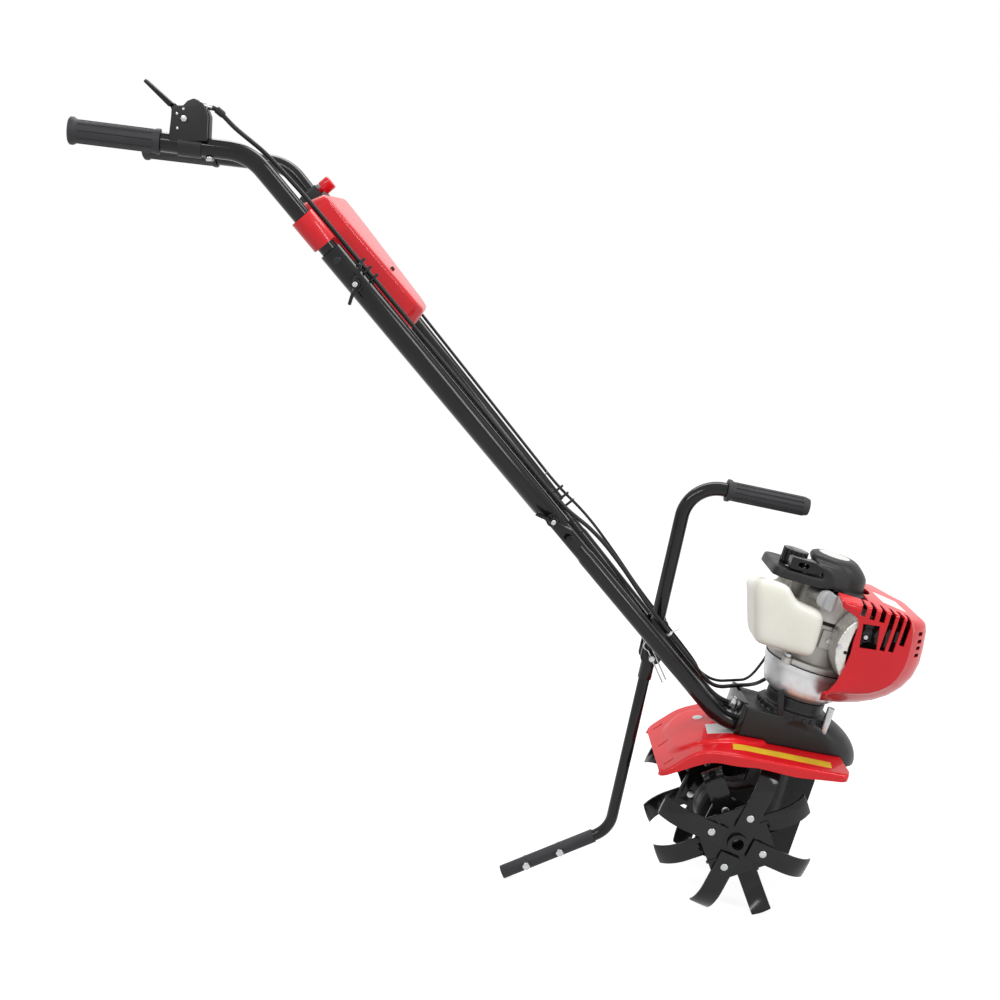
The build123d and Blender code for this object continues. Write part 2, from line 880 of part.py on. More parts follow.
cylinder_u = drive_u + case_radius + block_reach
port_y = fin_side / 2
with BuildPart() as cylinder:
    with BuildSketch(facing(cylinder_u, 0, cylinder_w)):
        Circle(cylinder_core)
    extrude(amount=cylinder_length)
    fin_pitch = (cylinder_length - 2 * fin_thickness) / fin_count
    for step in range(fin_count):
        with BuildSketch(facing(cylinder_u + (step + 0.5) * fin_pitch, 0, cylinder_w)):
            RectangleRounded(fin_side, fin_side, fin_corner)
        extrude(amount=fin_thickness)
    with BuildSketch(flank(-muffler_gap - port_y)):
        with Locations((cylinder_u + cylinder_length / 2, cylinder_w)):
            Rectangle(port_side, port_side)
    extrude(amount=-(2 * port_y + muffler_gap + carburettor_gap))
keep(cylinder.part, "cylinder")

# Muffler on the right and its shield, carburettor and air cleaner on the left
window_centre = on_case([window_place])[0]
with BuildPart() as muffler:
    muffler_y = port_y + muffler_gap + muffler_size[1] / 2
    with BuildSketch(deck(cylinder_w - muffler_drop, muffler_u, -muffler_y)):
        RectangleRounded(muffler_size[0], muffler_size[1], muffler_screw)
    extrude(amount=muffler_size[2])
    with BuildSketch(flank(-muffler_y - muffler_size[1] / 2)):
        with Locations(window_centre):
            Circle(muffler_screw)
    extrude(amount=cover_wall)
keep(muffler.part, "muffler")

with BuildPart() as heat_shield:
    with BuildSketch(flank(-(port_y + shield_start))):
        with BuildLine():
            shield = on_case(shield_outline)
            ThreePointArc(*shield[:3])
            Polyline(*shield[2:5])
            ThreePointArc(*shield[4:])
            Line(shield[-1], shield[0])
        make_face()
    extrude(amount=shield_depth)
    fillet(heat_shield.faces().sort_by(Axis.Y)[0].edges(), cover_wall)
keep(heat_shield.part, "heat_shield")

carburettor_y = port_y + carburettor_gap + carburettor_size[1] / 2
with BuildPart() as carburettor:
    with BuildSketch(facing(carburettor_u, carburettor_y, cylinder_w)):
        RectangleRounded(carburettor_size[1], carburettor_size[2], clutch_wall)
    extrude(amount=carburettor_size[0])
    bowl_foot = cylinder_w - carburettor_size[2] / 2 - bowl_height
    with BuildSketch(deck(bowl_foot, carburettor_u + carburettor_size[0] / 2, carburettor_y)):
        Circle(bowl_radius)
    extrude(amount=bowl_height)
keep(carburettor.part, "carburettor")

with BuildPart() as air_cleaner:
    with BuildSketch(flank(carburettor_y + carburettor_size[1] / 2)):
        with Locations((cleaner_u, cylinder_w)):
            RectangleRounded(*cleaner_size, cleaner_corner)
    extrude(amount=-cleaner_depth)
    fillet(air_cleaner.faces().sort_by(Axis.Y)[-1].edges(), cleaner_rounding)
keep(air_cleaner.part, "air_cleaner")


# Engine cover: a red shroud round the front of the engine, with louvres on the right
def cover_view(y, outline, inset):
    """One side view of the shroud, or of its inside with each corner drawn in by the wall."""
    with BuildSketch(flank(y)) as view:
        with BuildLine():
            radii = [radius - inset for radius in cover_radii]
            front = FilletPolyline(*on_case(drawn_in(outline, inset)), radius=radii)
            Polyline(front @ 1, *on_case(drawn_in(cover_rear_edge, inset)), front @ 0)
        make_face()
    return view.sketch


def drawn_in(points, inset):
    """Points moved towards the shroud's middle along both axes."""
    middle_u, middle_rise = cover_middle
    return [
        (u - copysign(inset, u - middle_u), rise - copysign(inset, rise - middle_rise)) for u, rise in points
    ]


def shroud(inset):
    """The shroud's outside or inside: its two sides are smaller than its nose, and facets join them."""
    stations = (
        (inset - cover_near, cover_side), (-cover_bulge, cover_nose),
        (cover_bulge, cover_nose), (cover_far - inset, cover_side),
    )
    with BuildPart() as block:
        for (start, first), (end, second) in zip(stations, stations[1:]):
            loft([cover_view(start, first, inset), cover_view(end, second, inset)], ruled=True)
    return block.part


with BuildPart() as engine_cover:
    add(shroud(0))
    add(shroud(cover_wall), mode=Mode.SUBTRACT)
    with BuildSketch(flank(cover_far - cover_wall)):
        with Locations(on_case([cover_opening_place])):
            Rectangle(*cover_opening)
    extrude(amount=cover_near + cover_far - 2 * cover_wall, mode=Mode.SUBTRACT)
    with BuildSketch(deck(gear_top, drive_u)):
        Circle(clutch_flange + clutch_clearance)
    extrude(amount=clutch_top + 2 * lug_height - gear_top, mode=Mode.SUBTRACT)
    with BuildSketch(deck(fan_floor, drive_u)):
        Circle(case_radius + clutch_clearance)
    extrude(amount=dome_top - fan_floor, mode=Mode.SUBTRACT)
    with BuildSketch(flank(cover_bulge)):
        with Locations((cleaner_u, cylinder_w)):
            RectangleRounded(cleaner_size[0] + 2, cleaner_size[1] + 2, cleaner_corner + 1)
    extrude(amount=-cover_far, mode=Mode.SUBTRACT)
    with BuildSketch(flank(muffler_gap - cover_near)):
        for u, rise, length in louvre_places:
            with Locations(on_case([(u, rise)])):
                Rectangle(louvre_width, length, rotation=lean)
        with Locations(window_centre):
            RectangleRounded(*window_size, window_corner)
    extrude(amount=2 * muffler_gap, mode=Mode.SUBTRACT)
    with BuildSketch(flank(-cover_bulge)):
        with Locations(on_case([(vent_u, -drop) for drop in vent_drops])):
            Rectangle(*vent_size)
    extrude(amount=cover_near - cover_bulge, mode=Mode.SUBTRACT)
keep(engine_cover.part, "engine_cover")

# Fuel tank behind and to the right of the crankcase, hollowed round it
with BuildPart() as fuel_tank:
    with BuildSketch(flank(-tank_near)):
        with BuildLine():
            FilletPolyline(*on_case(tank_outline), radius=tank_corner, close=True)
        make_face()
    extrude(amount=-tank_depth)
    fillet(fuel_tank.faces().filter_by(Axis.Y).edges(), tank_rounding)
    with BuildSketch(deck(clutch_top, drive_u)):
        Circle(case_radius + tank_gap)
    extrude(amount=2 * case_height, mode=Mode.SUBTRACT)
    with BuildSketch(deck(shelf_top - fuel_neck_depth, fuel_cap_u, fuel_cap_y)):
        Circle(fuel_neck_radius)
    extrude(amount=fuel_neck_depth + neck_rise)
keep(fuel_tank.part, "fuel_tank")

with BuildPart() as fuel_cap:
    with BuildSketch(deck(shelf_top + grip_gap, fuel_cap_u, fuel_cap_y)):
        Circle(fuel_cap_radius)
        with PolarLocations(fuel_cap_radius, fuel_cap_lobes):
            Circle(rope_radius, mode=Mode.SUBTRACT)
    extrude(amount=fuel_cap_height)
    with BuildSketch(deck(shelf_top, fuel_cap_u, fuel_cap_y)):
        Circle(fuel_neck_radius + running)
    extrude(amount=neck_rise + grip_gap, mode=Mode.SUBTRACT)
keep(fuel_cap.part, "fuel_cap")


# Recoil starter: a cover with its pulley, rope and pull grip
def starter_block(inset):
    """The starter cover's dome, shoulder and shelf, or their hollow with the wall taken off."""
    with BuildPart() as block:
        with BuildSketch(deck(crankcase_top - inset, drive_u)):
            Circle(dome_radius - inset)
        extrude(amount=dome_height, taper=dome_taper)
        fillet(block.faces().sort_by(drive_axis)[-1].edges(), dome_rounding - inset)
        with BuildSketch(deck(shelf_foot - inset, drive_u)):
            Circle(dome_radius - dome_wall - inset)
            with Locations((shoulder_u - drive_u, shoulder_y)):
                Rectangle(shoulder_size[0] - 2 * inset, shoulder_size[1] - 2 * inset)
            make_hull()
        extrude(amount=shoulder_height, taper=shelf_taper)
        with BuildSketch(deck(shelf_foot - inset, (shelf_front + shelf_rear) / 2, (shelf_far - shelf_near) / 2)):
            shelf_long, shelf_wide = shelf_front - shelf_rear, shelf_near + shelf_far
            RectangleRounded(shelf_long - 2 * inset, shelf_wide - 2 * inset, shelf_corner - inset)
        extrude(amount=shelf_height, taper=shelf_taper)
    return block.part


rope_point = deck(pull_w, pull_boss_u, pull_y)
rope_line = Plane(rope_point.origin, x_dir=across, z_dir=-along)
post_radius = shaft_radius
with BuildPart() as starter_cover:
    add(starter_block(0))
    with BuildSketch(deck(crankcase_top, drive_u)):
        Circle(case_radius)
    extrude(amount=flange_height)
    with BuildSketch(rope_line):
        Circle(pull_boss_radius)
    extrude(amount=-pull_boss_length)
    add(starter_block(dome_wall), mode=Mode.SUBTRACT)
    with BuildSketch(rope_line):
        Circle(rope_radius + grip_gap)
    extrude(amount=-pull_boss_length - dome_wall, mode=Mode.SUBTRACT)
    with BuildSketch(deck(shelf_foot, fuel_cap_u, fuel_cap_y)):
        Circle(fuel_neck_radius + 2 * grip_gap)
    extrude(amount=shelf_height, mode=Mode.SUBTRACT)
    with BuildSketch(Plane(oil_base, z_dir=oil_axis)):
        Circle(oil_cap_radius + dome_wall)
    extrude(amount=shelf_near, mode=Mode.SUBTRACT)
    with BuildSketch(deck(pulley_foot - 1, drive_u)):
        Circle(post_radius)
    extrude(amount=dome_top - dome_wall - pulley_foot + 1)
keep(starter_cover.part, "starter_cover")

with BuildPart() as starter_pulley:
    with BuildSketch(flank()):
        with BuildLine():
            bore = drive_u + post_radius + running
            rim = drive_u + pulley_radius
            floor = rim - groove_depth
            pulley_top = pulley_foot + pulley_height
            Polyline(
                (bore, pulley_foot), (rim, pulley_foot), (rim, pulley_foot + pulley_flange),
                (floor, pulley_foot + 2 * pulley_flange), (floor, pulley_top - 2 * pulley_flange),
                (rim, pulley_top - pulley_flange), (rim, pulley_top), (bore, pulley_top), close=True,
            )
        make_face()
    revolve(axis=drive_axis)
keep(starter_pulley.part, "starter_pulley")

with BuildPart() as starter_grip:
    with BuildSketch(flank(pull_y)):
        with BuildLine():
            front = pull_boss_u - grip_gap
            half = pull_grip_height / 2
            FilletPolyline(
                (front, pull_w - half / 2), (front, pull_w + half / 2), (front - pull_grip_waist, pull_w + half),
                (front - pull_grip_length, pull_w + half), (front - pull_grip_length, pull_w - half),
                (front - pull_grip_waist, pull_w - half), radius=half / 3, close=True,
            )
        make_face()
        with Locations((front - 0.6 * pull_grip_length, pull_w)):
            SlotOverall(*pull_grip_hole, mode=Mode.SUBTRACT)
    extrude(amount=pull_grip_depth / 2, both=True)
    fillet(starter_grip.faces().filter_by(Axis.Y).edges(), rope_radius)
keep(starter_grip.part, "starter_grip")

with BuildPart() as starter_rope:
    with BuildSketch(Plane(rope_point.origin - along * grip_gap, x_dir=across, z_dir=along)):
        Circle(rope_radius)
    extrude(amount=rope_length)
keep(starter_rope.part, "starter_rope")

with BuildPart() as oil_cap:
    seat = oil_base + oil_axis * (oil_neck_length + grip_gap)
    with BuildSketch(Plane(seat, x_dir=upright, z_dir=oil_axis)):
        Circle(oil_cap_radius)
    extrude(amount=oil_cap_height)
    with BuildSketch(Plane(seat + oil_axis * oil_cap_height, x_dir=upright, z_dir=oil_axis)):
        Rectangle(2 * oil_cap_radius - oil_flag_width / 2, oil_flag_width)
    extrude(amount=oil_flag)
    fillet(oil_cap.edges().filter_by(GeomType.LINE).sort_by(Axis(seat, oil_axis))[-4:], oil_flag_width / 3)
keep(oil_cap.part, "oil_cap")


# Handle bars: each side lies in one plane, local x up the bar from the pivot, local y to its upper side
def side_plane(side):
    """The plane of one handle bar, from its pivot, its upper corner and its grip's end."""
    pivot = Vector(pivot_x, side * pivot_half, pivot_z)
    corner = Vector(corner_x, side * corner_half, corner_z)
    grip = Vector(grip_x, side * grip_half, grip_z)
    return Plane(pivot, x_dir=corner - pivot, z_dir=(grip - corner).cross(corner - pivot))


def on_side(side, x, z):
    """The local place, in a side's plane, of a point given in the side view."""
    plane = side_plane(side)
    normal, origin = plane.z_dir, plane.origin
    y = origin.Y - (normal.X * (x - origin.X) + normal.Z * (z - origin.Z)) / normal.Y
    return plane.to_local_coords(Vector(x, y, z))


def bar_point(side, s, height=0):
    """A point on a side's bar, s from the pivot, and a height over the bar's line."""
    return side_plane(side).from_local_coords((s, height, 0))


def cross_bolt(side, s, head, tail, radius, head_radius, head_height):
    """A bolt along Y through a bar, its hexagon head on one side and its tail on the other."""
    centre = bar_point(side, s)
    seat = Plane((centre.X, centre.Y + head, centre.Z), x_dir=forward, z_dir=across * (1 if head > 0 else -1))
    with BuildPart() as bolt:
        add(hex_head(seat, head_radius, head_height))
        add(round_bar(seat, radius, -abs(head - tail)))
    return bolt.part


def cross_hole(side, s, radius):
    """The hole that a bolt along Y needs through a bar."""
    centre = bar_point(side, s)
    return round_bar(across_at(centre.X, centre.Z, centre.Y + 2 * sleeve_radius), radius, 4 * sleeve_radius)


sleeve_foot = -hole_inset
sleeve_head = sleeve_length - hole_inset
lower_wing = sleeve_foot + wing_inset
upper_wing = sleeve_head - wing_inset
corner_s = (Vector(corner_x, corner_half, corner_z) - Vector(pivot_x, pivot_half, pivot_z)).length
bolt_clear = bolt_radius + running
plate_rear = housing_rear - plate_u_thickness
foot_point = deck(foot_w, plate_rear).origin
run_x, run_z = corner_x - pivot_x, corner_z - pivot_z
foot_from_pivot = foot_point - Vector(pivot_x, 0, pivot_z)
reach = (foot_from_pivot.X * along.Z - foot_from_pivot.Z * along.X) / (run_x * along.Z - run_z * along.X)
bend_x, bend_z = pivot_x + reach * run_x, pivot_z + reach * run_z


def lower_tube(side):
    """One lower tube: bent from the plate up to the pivot, with a narrowed end inside the sleeve."""
    plane = side_plane(side)
    bend = on_side(side, bend_x, bend_z)
    foot = on_side(side, foot_point.X + foot_past * along.X, foot_point.Z + foot_past * along.Z)
    neck = insert_start - swage_length
    with BuildPart() as tube:
        with BuildLine(plane) as route:
            FilletPolyline((neck, 0), (bend.X, bend.Y), (foot.X, foot.Y), radius=foot_bend)
        with BuildSketch(Plane(route.line @ 0, z_dir=route.line % 0)):
            Circle(bar_radius)
            Circle(bar_radius - bar_wall, mode=Mode.SUBTRACT)
        sweep()
        with BuildSketch(plane):
            with BuildLine():
                Polyline(
                    (neck, bar_radius), (insert_start, insert_radius), (insert_end, insert_radius),
                    (insert_end, insert_radius - bar_wall), (insert_start, insert_radius - bar_wall),
                    (neck, bar_radius - bar_wall), close=True,
                )
            make_face()
        revolve(axis=Axis(plane.origin, plane.x_dir))
        split(bisect_by=facing(plate_rear), keep=Keep.BOTTOM)
        add(cross_hole(side, 0, pivot_bolt_radius + running), mode=Mode.SUBTRACT)
        notch_foot = sqrt(lower_wing ** 2 - insert_radius ** 2) - bolt_radius - notch_slack
        notch_head = lower_wing + bolt_radius + notch_slack
        notch_depth = insert_radius + bolt_radius + notch_slack
        with BuildSketch(plane):
            with Locations(((notch_foot + notch_head) / 2, insert_radius - notch_depth / 2)):
                Rectangle(notch_head - notch_foot, notch_depth)
        extrude(amount=2 * insert_radius, both=True, mode=Mode.SUBTRACT)
    return tube.part


with BuildPart() as lower_tubes:
    for side in (right, left):
        add(lower_tube(side))
keep(lower_tubes.part, "lower_tubes")

for side in (right, left):
    plane = side_plane(side)
    with BuildPart() as sleeve:
        with BuildSketch(Plane(bar_point(side, sleeve_foot), x_dir=plane.y_dir, z_dir=plane.x_dir)):
            Circle(sleeve_radius)
            Circle(sleeve_bore, mode=Mode.SUBTRACT)
        extrude(amount=sleeve_length)
        with BuildSketch(plane):
            slot_end = sqrt(insert_end ** 2 + insert_radius ** 2) + 3
            with Locations(((slot_end + sleeve_foot) / 2 - 1, -sleeve_radius)):
                Rectangle(slot_end - sleeve_foot + 2, 2 * sleeve_radius)
            with Locations(((fold_relief + sleeve_foot) / 2 - 1, sleeve_radius)):
                Rectangle(fold_relief - sleeve_foot + 2, 2 * sleeve_radius)
        extrude(amount=sleeve_bore, both=True, mode=Mode.SUBTRACT)
        for s, radius in ((0, pivot_bolt_radius), (lower_wing, bolt_radius), (upper_wing, bolt_radius),
                          (sleeve_head - hole_inset, bolt_radius)):
            add(cross_hole(side, s, radius + running), mode=Mode.SUBTRACT)
    keep(sleeve.part, f"sleeve_{side_names[side]}")

    grip_end = on_side(side, grip_x, grip_z)
    corner = Vector(corner_s, 0)
    grip_line = (Vector(grip_end.X, grip_end.Y) - corner).normalized()
    grip_start = Vector(grip_end.X, grip_end.Y) - grip_line * grip_length
    with BuildPart() as upper_tube:
        with BuildLine(plane) as route:
            tube_end = Vector(grip_end.X, grip_end.Y) - grip_line * 4
            tube_start = sleeve_head - upper_insert
            FilletPolyline((tube_start, 0), (corner.X, 0), (tube_end.X, tube_end.Y), radius=bar_bend)
        with BuildSketch(Plane(route.line @ 0, z_dir=route.line % 0)):
            Circle(bar_radius)
            Circle(bar_radius - bar_wall, mode=Mode.SUBTRACT)
        sweep()
        for s in (upper_wing, sleeve_head - hole_inset):
            add(cross_hole(side, s, bolt_radius + running), mode=Mode.SUBTRACT)
    keep(upper_tube.part, f"upper_tube_{side_names[side]}")

    start = plane.from_local_coords((grip_start.X, grip_start.Y, 0))
    heading = plane.from_local_coords((grip_end.X, grip_end.Y, 0)) - start
    seat = Plane(start, x_dir=plane.z_dir, z_dir=heading)
    with BuildPart() as grip:
        with BuildSketch(Plane(start, x_dir=heading, z_dir=plane.z_dir)):
            with BuildLine():
                Polyline(
                    (0, bar_radius), (0, grip_radius + grip_flange), (4, grip_radius + grip_flange), (7, grip_radius),
                    (grip_length - 10, grip_radius), (grip_length - 6, grip_radius + 2.5),
                    (grip_length - 2, grip_radius + 2.5), (grip_length, grip_radius), (grip_length, 0),
                    (grip_length - 4, 0), (grip_length - 4, bar_radius), close=True,
                )
            make_face()
        revolve(axis=Axis(start, heading))
        with BuildSketch(Plane(start + heading.normalized() * 9, x_dir=plane.z_dir, z_dir=heading)):
            with PolarLocations(grip_radius + 0.4, grip_flutes):
                Circle(1.6)
        extrude(amount=grip_length - 22, mode=Mode.SUBTRACT)
    keep(grip.part, f"grip_{side_names[side]}")

bolt_seat = sleeve_radius + 1.4
nut_height = 9
with BuildPart() as handle_bolts:
    for side in (right, left):
        out = side
        add(cross_bolt(side, 0, out * bolt_seat, -out * (bolt_seat + 6), pivot_bolt_radius, 7, 5))
        for s in (lower_wing, upper_wing):
            tail = out * (bolt_seat + washer_thickness + nut_height + 4)
            add(cross_bolt(side, s, -out * bolt_seat, tail, bolt_radius, bolt_head, 4))
            centre = bar_point(side, s)
            washer = Plane(centre + across * (out * bolt_seat), x_dir=forward, z_dir=across * out)
            add(round_bar(washer, washer_radius, washer_thickness))
keep(handle_bolts.part, "handle_bolts")

wing_turns = {("upper", right): 73, ("lower", right): -27, ("upper", left): 20, ("lower", left): 100}
wing_places = {"upper": upper_wing, "lower": lower_wing}
for (level, side), turn in wing_turns.items():
    centre = bar_point(side, wing_places[level])
    foot = centre + across * (side * (bolt_seat + washer_thickness + 0.3))
    span = Vector(cos(radians(turn)), 0, sin(radians(turn)))
    with BuildPart() as wing_nut:
        with BuildSketch(Plane(foot, x_dir=span, z_dir=across * side)):
            Circle(6.5)
        extrude(amount=nut_height, taper=6)
        for way in (1, -1):
            with BuildSketch(Plane(foot, x_dir=span * way, z_dir=span.cross(across * side) * way)) as wing:
                with BuildLine():
                    up = 1 if (wing.workplanes[0].y_dir.Y * side) > 0 else -1
                    FilletPolyline(
                        (3, 1 * up), (8, 1 * up), (wing_span, 6 * up), (wing_span, 15 * up), (17, 15 * up),
                        (3, 7 * up), radius=1.2, close=True,
                    )
                make_face()
            extrude(amount=1.7, both=True)
        with BuildSketch(Plane(foot, x_dir=span, z_dir=across * side)):
            Circle(bolt_clear)
        extrude(amount=nut_height + 8, mode=Mode.SUBTRACT)
    keep(wing_nut.part, f"wing_nut_{level}_{side_names[side]}")

# Handle plate on the housing's rear face
with BuildPart() as base_plate:
    with BuildSketch(facing(plate_rear, 0, (plate_foot + plate_head) / 2)):
        RectangleRounded(2 * plate_half, plate_head - plate_foot, plate_corner)
    extrude(amount=plate_u_thickness)
    for w in plate_bolts:
        add(round_bar(facing(plate_rear - 1, 0, w), bolt_radius, plate_u_thickness + 2), mode=Mode.SUBTRACT)
keep(base_plate.part, "base_plate")

# Carry handle and drag bar share one line in the middle plane
middle = across_at(0, 0)
stem = Vector(stem_x, stem_z)
rise = Vector(sin(radians(stem_lean)), cos(radians(stem_lean)))
slope = Vector(cos(radians(carry_slope)), -sin(radians(carry_slope)))
stem_top = stem + rise * stem_head
carry_end = stem_top + slope * carry_reach
with BuildPart() as carry_tube:
    with BuildLine(middle) as route:
        low, high, end = stem - rise * stem_foot, stem_top, carry_end - slope * grip_cap
        FilletPolyline((low.X, low.Y), (high.X, high.Y), (end.X, end.Y), radius=stem_bend)
    with BuildSketch(Plane(route.line @ 0, z_dir=route.line % 0)):
        Circle(stem_radius)
        Circle(stem_radius - stem_wall, mode=Mode.SUBTRACT)
    sweep()
    add(round_bar(across_at(stem.X, stem.Y, hole_reach), hitch_radius + running, 2 * hole_reach), mode=Mode.SUBTRACT)
keep(carry_tube.part, "carry_tube")

with BuildPart() as carry_grip:
    begin = carry_end - slope * carry_grip_length
    grip_start = Vector(begin.X, 0, begin.Y)
    grip_heading = Vector(slope.X, 0, slope.Y)
    with BuildSketch(Plane(grip_start, x_dir=grip_heading, z_dir=-across)):
        with BuildLine():
            Polyline(
                (0, stem_radius), (0, carry_grip_radius + carry_rim),
                (carry_rim_width, carry_grip_radius + carry_rim), (carry_taper, carry_grip_radius),
                (carry_grip_length - carry_taper, carry_grip_radius),
                (carry_grip_length, carry_grip_radius - carry_rim), (carry_grip_length, 0),
                (carry_grip_length - grip_cap, 0), (carry_grip_length - grip_cap, stem_radius), close=True,
            )
        make_face()
    revolve(axis=Axis(grip_start, grip_heading))
    with BuildSketch(Plane(grip_start + grip_heading * carry_flute_start, z_dir=grip_heading)):
        with PolarLocations(carry_grip_radius, carry_flutes):
            Circle(carry_flute)
    extrude(amount=carry_grip_length - 2 * carry_flute_start, mode=Mode.SUBTRACT)
keep(carry_grip.part, "carry_grip")

drag_corner = stem - rise * drag_drop
drag_end = Vector(drag_end_x, shoe_radius * shoe_sink)
drag_line = (drag_end - drag_corner).normalized()
with BuildPart() as drag_bar:
    with BuildLine(middle) as route:
        top = stem + rise * drag_lap
        corner = drag_corner
        FilletPolyline((top.X, top.Y), (corner.X, corner.Y), (drag_end.X, drag_end.Y), radius=drag_bend)
    with BuildSketch(Plane(route.line @ 0, z_dir=route.line % 0)):
        Circle(drag_radius)
        Circle(drag_radius - stem_wall, mode=Mode.SUBTRACT)
    sweep()
    add(round_bar(across_at(stem.X, stem.Y, hole_reach), hitch_radius + running, 2 * hole_reach), mode=Mode.SUBTRACT)
    for distance in shoe_bolts:
        spot = drag_end - drag_line * distance
        add(round_bar(across_at(spot.X, spot.Y, hole_reach), bolt_radius + running, 2 * hole_reach), mode=Mode.SUBTRACT)
keep(drag_bar.part, "drag_bar")

with BuildPart() as drag_shoe:
    heading = middle.from_local_coords((drag_line.X, drag_line.Y, 0))
    begin = drag_end - drag_line * shoe_length
    with BuildSketch(Plane(middle.from_local_coords((begin.X, begin.Y, 0)), z_dir=heading)):
        Circle(shoe_radius)
        Circle(drag_radius, mode=Mode.SUBTRACT)
    extrude(amount=shoe_length)
    for distance in shoe_bolts:
        spot = drag_end - drag_line * distance
        add(round_bar(across_at(spot.X, spot.Y, hole_reach), bolt_radius + running, 2 * hole_reach), mode=Mode.SUBTRACT)
keep(drag_shoe.part, "drag_shoe")

cheek_y = stem_radius
with BuildPart() as tube_bracket:
    stem_line = Plane((stem.X, 0, stem.Y), x_dir=across, z_dir=(rise.X, 0, rise.Y))
    run_line = Vector(run_x, 0, run_z).normalized()
    for side in (right, left):
        with BuildSketch(Plane((stem.X, side * cheek_y, stem.Y), x_dir=(rise.Y, 0, -rise.X),
                               z_dir=across * side)) as cheek:
            up = 1 if cheek.workplanes[0].y_dir.Z > 0 else -1
            with Locations((0, up * (bracket_height / 2 - bracket_drop))):
                RectangleRounded(bracket_width, bracket_height, bracket_corner)
        extrude(amount=bracket_thickness)
    cross_centre = Vector(pivot_x, 0, pivot_z) + run_line * cross_s
    with BuildSketch(Plane(cross_centre, x_dir=across, z_dir=run_line.cross(across))):
        Rectangle(cross_width, cross_length)
    extrude(amount=bracket_thickness / 2, both=True)
    add(round_bar(across_at(stem.X, stem.Y, hole_reach), hitch_radius + running, 2 * hole_reach), mode=Mode.SUBTRACT)
    add(round_bar(Plane(stem_line.origin - stem_line.z_dir * 60, z_dir=stem_line.z_dir), stem_radius, 200),
        mode=Mode.SUBTRACT)
    for side in (right, left):
        run = side_plane(side).x_dir
        tube_top = Plane(bar_point(side, insert_start - swage_length - 1), z_dir=-run)
        add(round_bar(tube_top, bar_radius, 230), mode=Mode.SUBTRACT)
keep(max(tube_bracket.part.solids(), key=lambda solid: solid.volume), "tube_bracket")

clip_line = Vector(cos(radians(clip_angle)), 0, sin(radians(clip_angle)))
with BuildPart() as hitch_pin:
    head = across_at(stem.X, stem.Y, hitch_far + hitch_head)
    add(round_bar(head, hitch_radius, hitch_near + hitch_far + hitch_head))
    add(round_bar(head, hitch_radius + hitch_rim, hitch_head))
    for way in (clip_line, -clip_line):
        clip_hole = Plane((stem.X, clip_y, stem.Y), z_dir=way)
        add(round_bar(clip_hole, clip_wire + running, 2 * hitch_radius), mode=Mode.SUBTRACT)
keep(hitch_pin.part, "hitch_pin")

with BuildPart() as hitch_clip:
    with BuildLine(Plane((stem.X, clip_y, stem.Y), x_dir=clip_line, z_dir=-across)) as wire:
        leg = Line((clip_leg, 0), (-clip_back, 0))
        opening = JernArc(leg @ 1, leg % 1, clip_loop, clip_turn)
        loop = JernArc(opening @ 1, opening % 1, clip_loop, -(180 + 2 * clip_turn))
        closing = JernArc(loop @ 1, loop % 1, clip_loop, clip_turn)
        Line(closing @ 1, (closing @ 1) + (closing % 1) * (clip_leg + clip_spare))
    with BuildSketch(Plane(wire.line @ 0, z_dir=wire.line % 0)):
        Circle(clip_wire)
    sweep()
keep(hitch_clip.part, "hitch_clip")

# Controls on the handle: console between the bars, stop switch, throttle
run_length = sqrt(run_x ** 2 + run_z ** 2)
run = Plane((pivot_x, 0, pivot_z), x_dir=(run_x, 0, run_z), z_dir=(run_z, 0, -run_x))


def bar_half(s):
    """The bars' half width at a distance along the run, seen from the side."""
    return pivot_half + s * (corner_half - pivot_half) / run_length


def run_point(s, y, height):
    """A point given along the run, across the machine and over the bars' plane."""
    return run.from_local_coords((s, -y, height))


def true_s(s):
    """The distance along a flared bar that shows as s from the side."""
    return s * corner_s / run_length


def console_block(inset):
    """The console's outside, or its hollow with the wall taken off."""
    with BuildPart() as block:
        with BuildSketch(run.offset(console_foot)):
            with BuildLine():
                wide = bar_half(console_end) - bar_radius - console_gap
                waist = bar_half(console_waist) - bar_radius - console_gap
                FilletPolyline(
                    (console_end, -wide), (console_end, wide), (console_waist, waist),
                    (console_start + 18, console_tip_half), (console_start, console_tip_half - 22),
                    (console_start, 22 - console_tip_half), (console_start + 18, -console_tip_half),
                    (console_waist, -waist), radius=console_corner, close=True,
                )
            make_face()
            if inset:
                offset(amount=-inset, mode=Mode.REPLACE)
        extrude(amount=console_rise - inset, taper=console_taper)
        fillet(block.faces().sort_by(Axis(run.origin, run.z_dir))[-1].edges(), console_rounding - inset)
    return block.part


with BuildPart() as console:
    add(console_block(0))
    for side in (right, left):
        bar_line = side_plane(side).x_dir
        ring = Plane(bar_point(side, true_s(clamp_middle) - clamp_length / 2), z_dir=bar_line)
        add(round_bar(ring, clamp_radius, clamp_length))
        arm_y = side * (bar_half(clamp_middle) - arm_reach / 2)
        arm_plane = Plane(run_point(clamp_middle, arm_y, -arm_height / 2), x_dir=run.x_dir, z_dir=run.z_dir)
        with BuildSketch(arm_plane):
            Rectangle(arm_length, arm_reach)
        extrude(amount=arm_height)
    add(console_block(console_wall), mode=Mode.SUBTRACT)
    for side in (right, left):
        bar_line = side_plane(side).x_dir
        add(round_bar(Plane(bar_point(side, true_s(console_start)), z_dir=bar_line), bar_radius, 240),
            mode=Mode.SUBTRACT)
keep(console.part, "console")

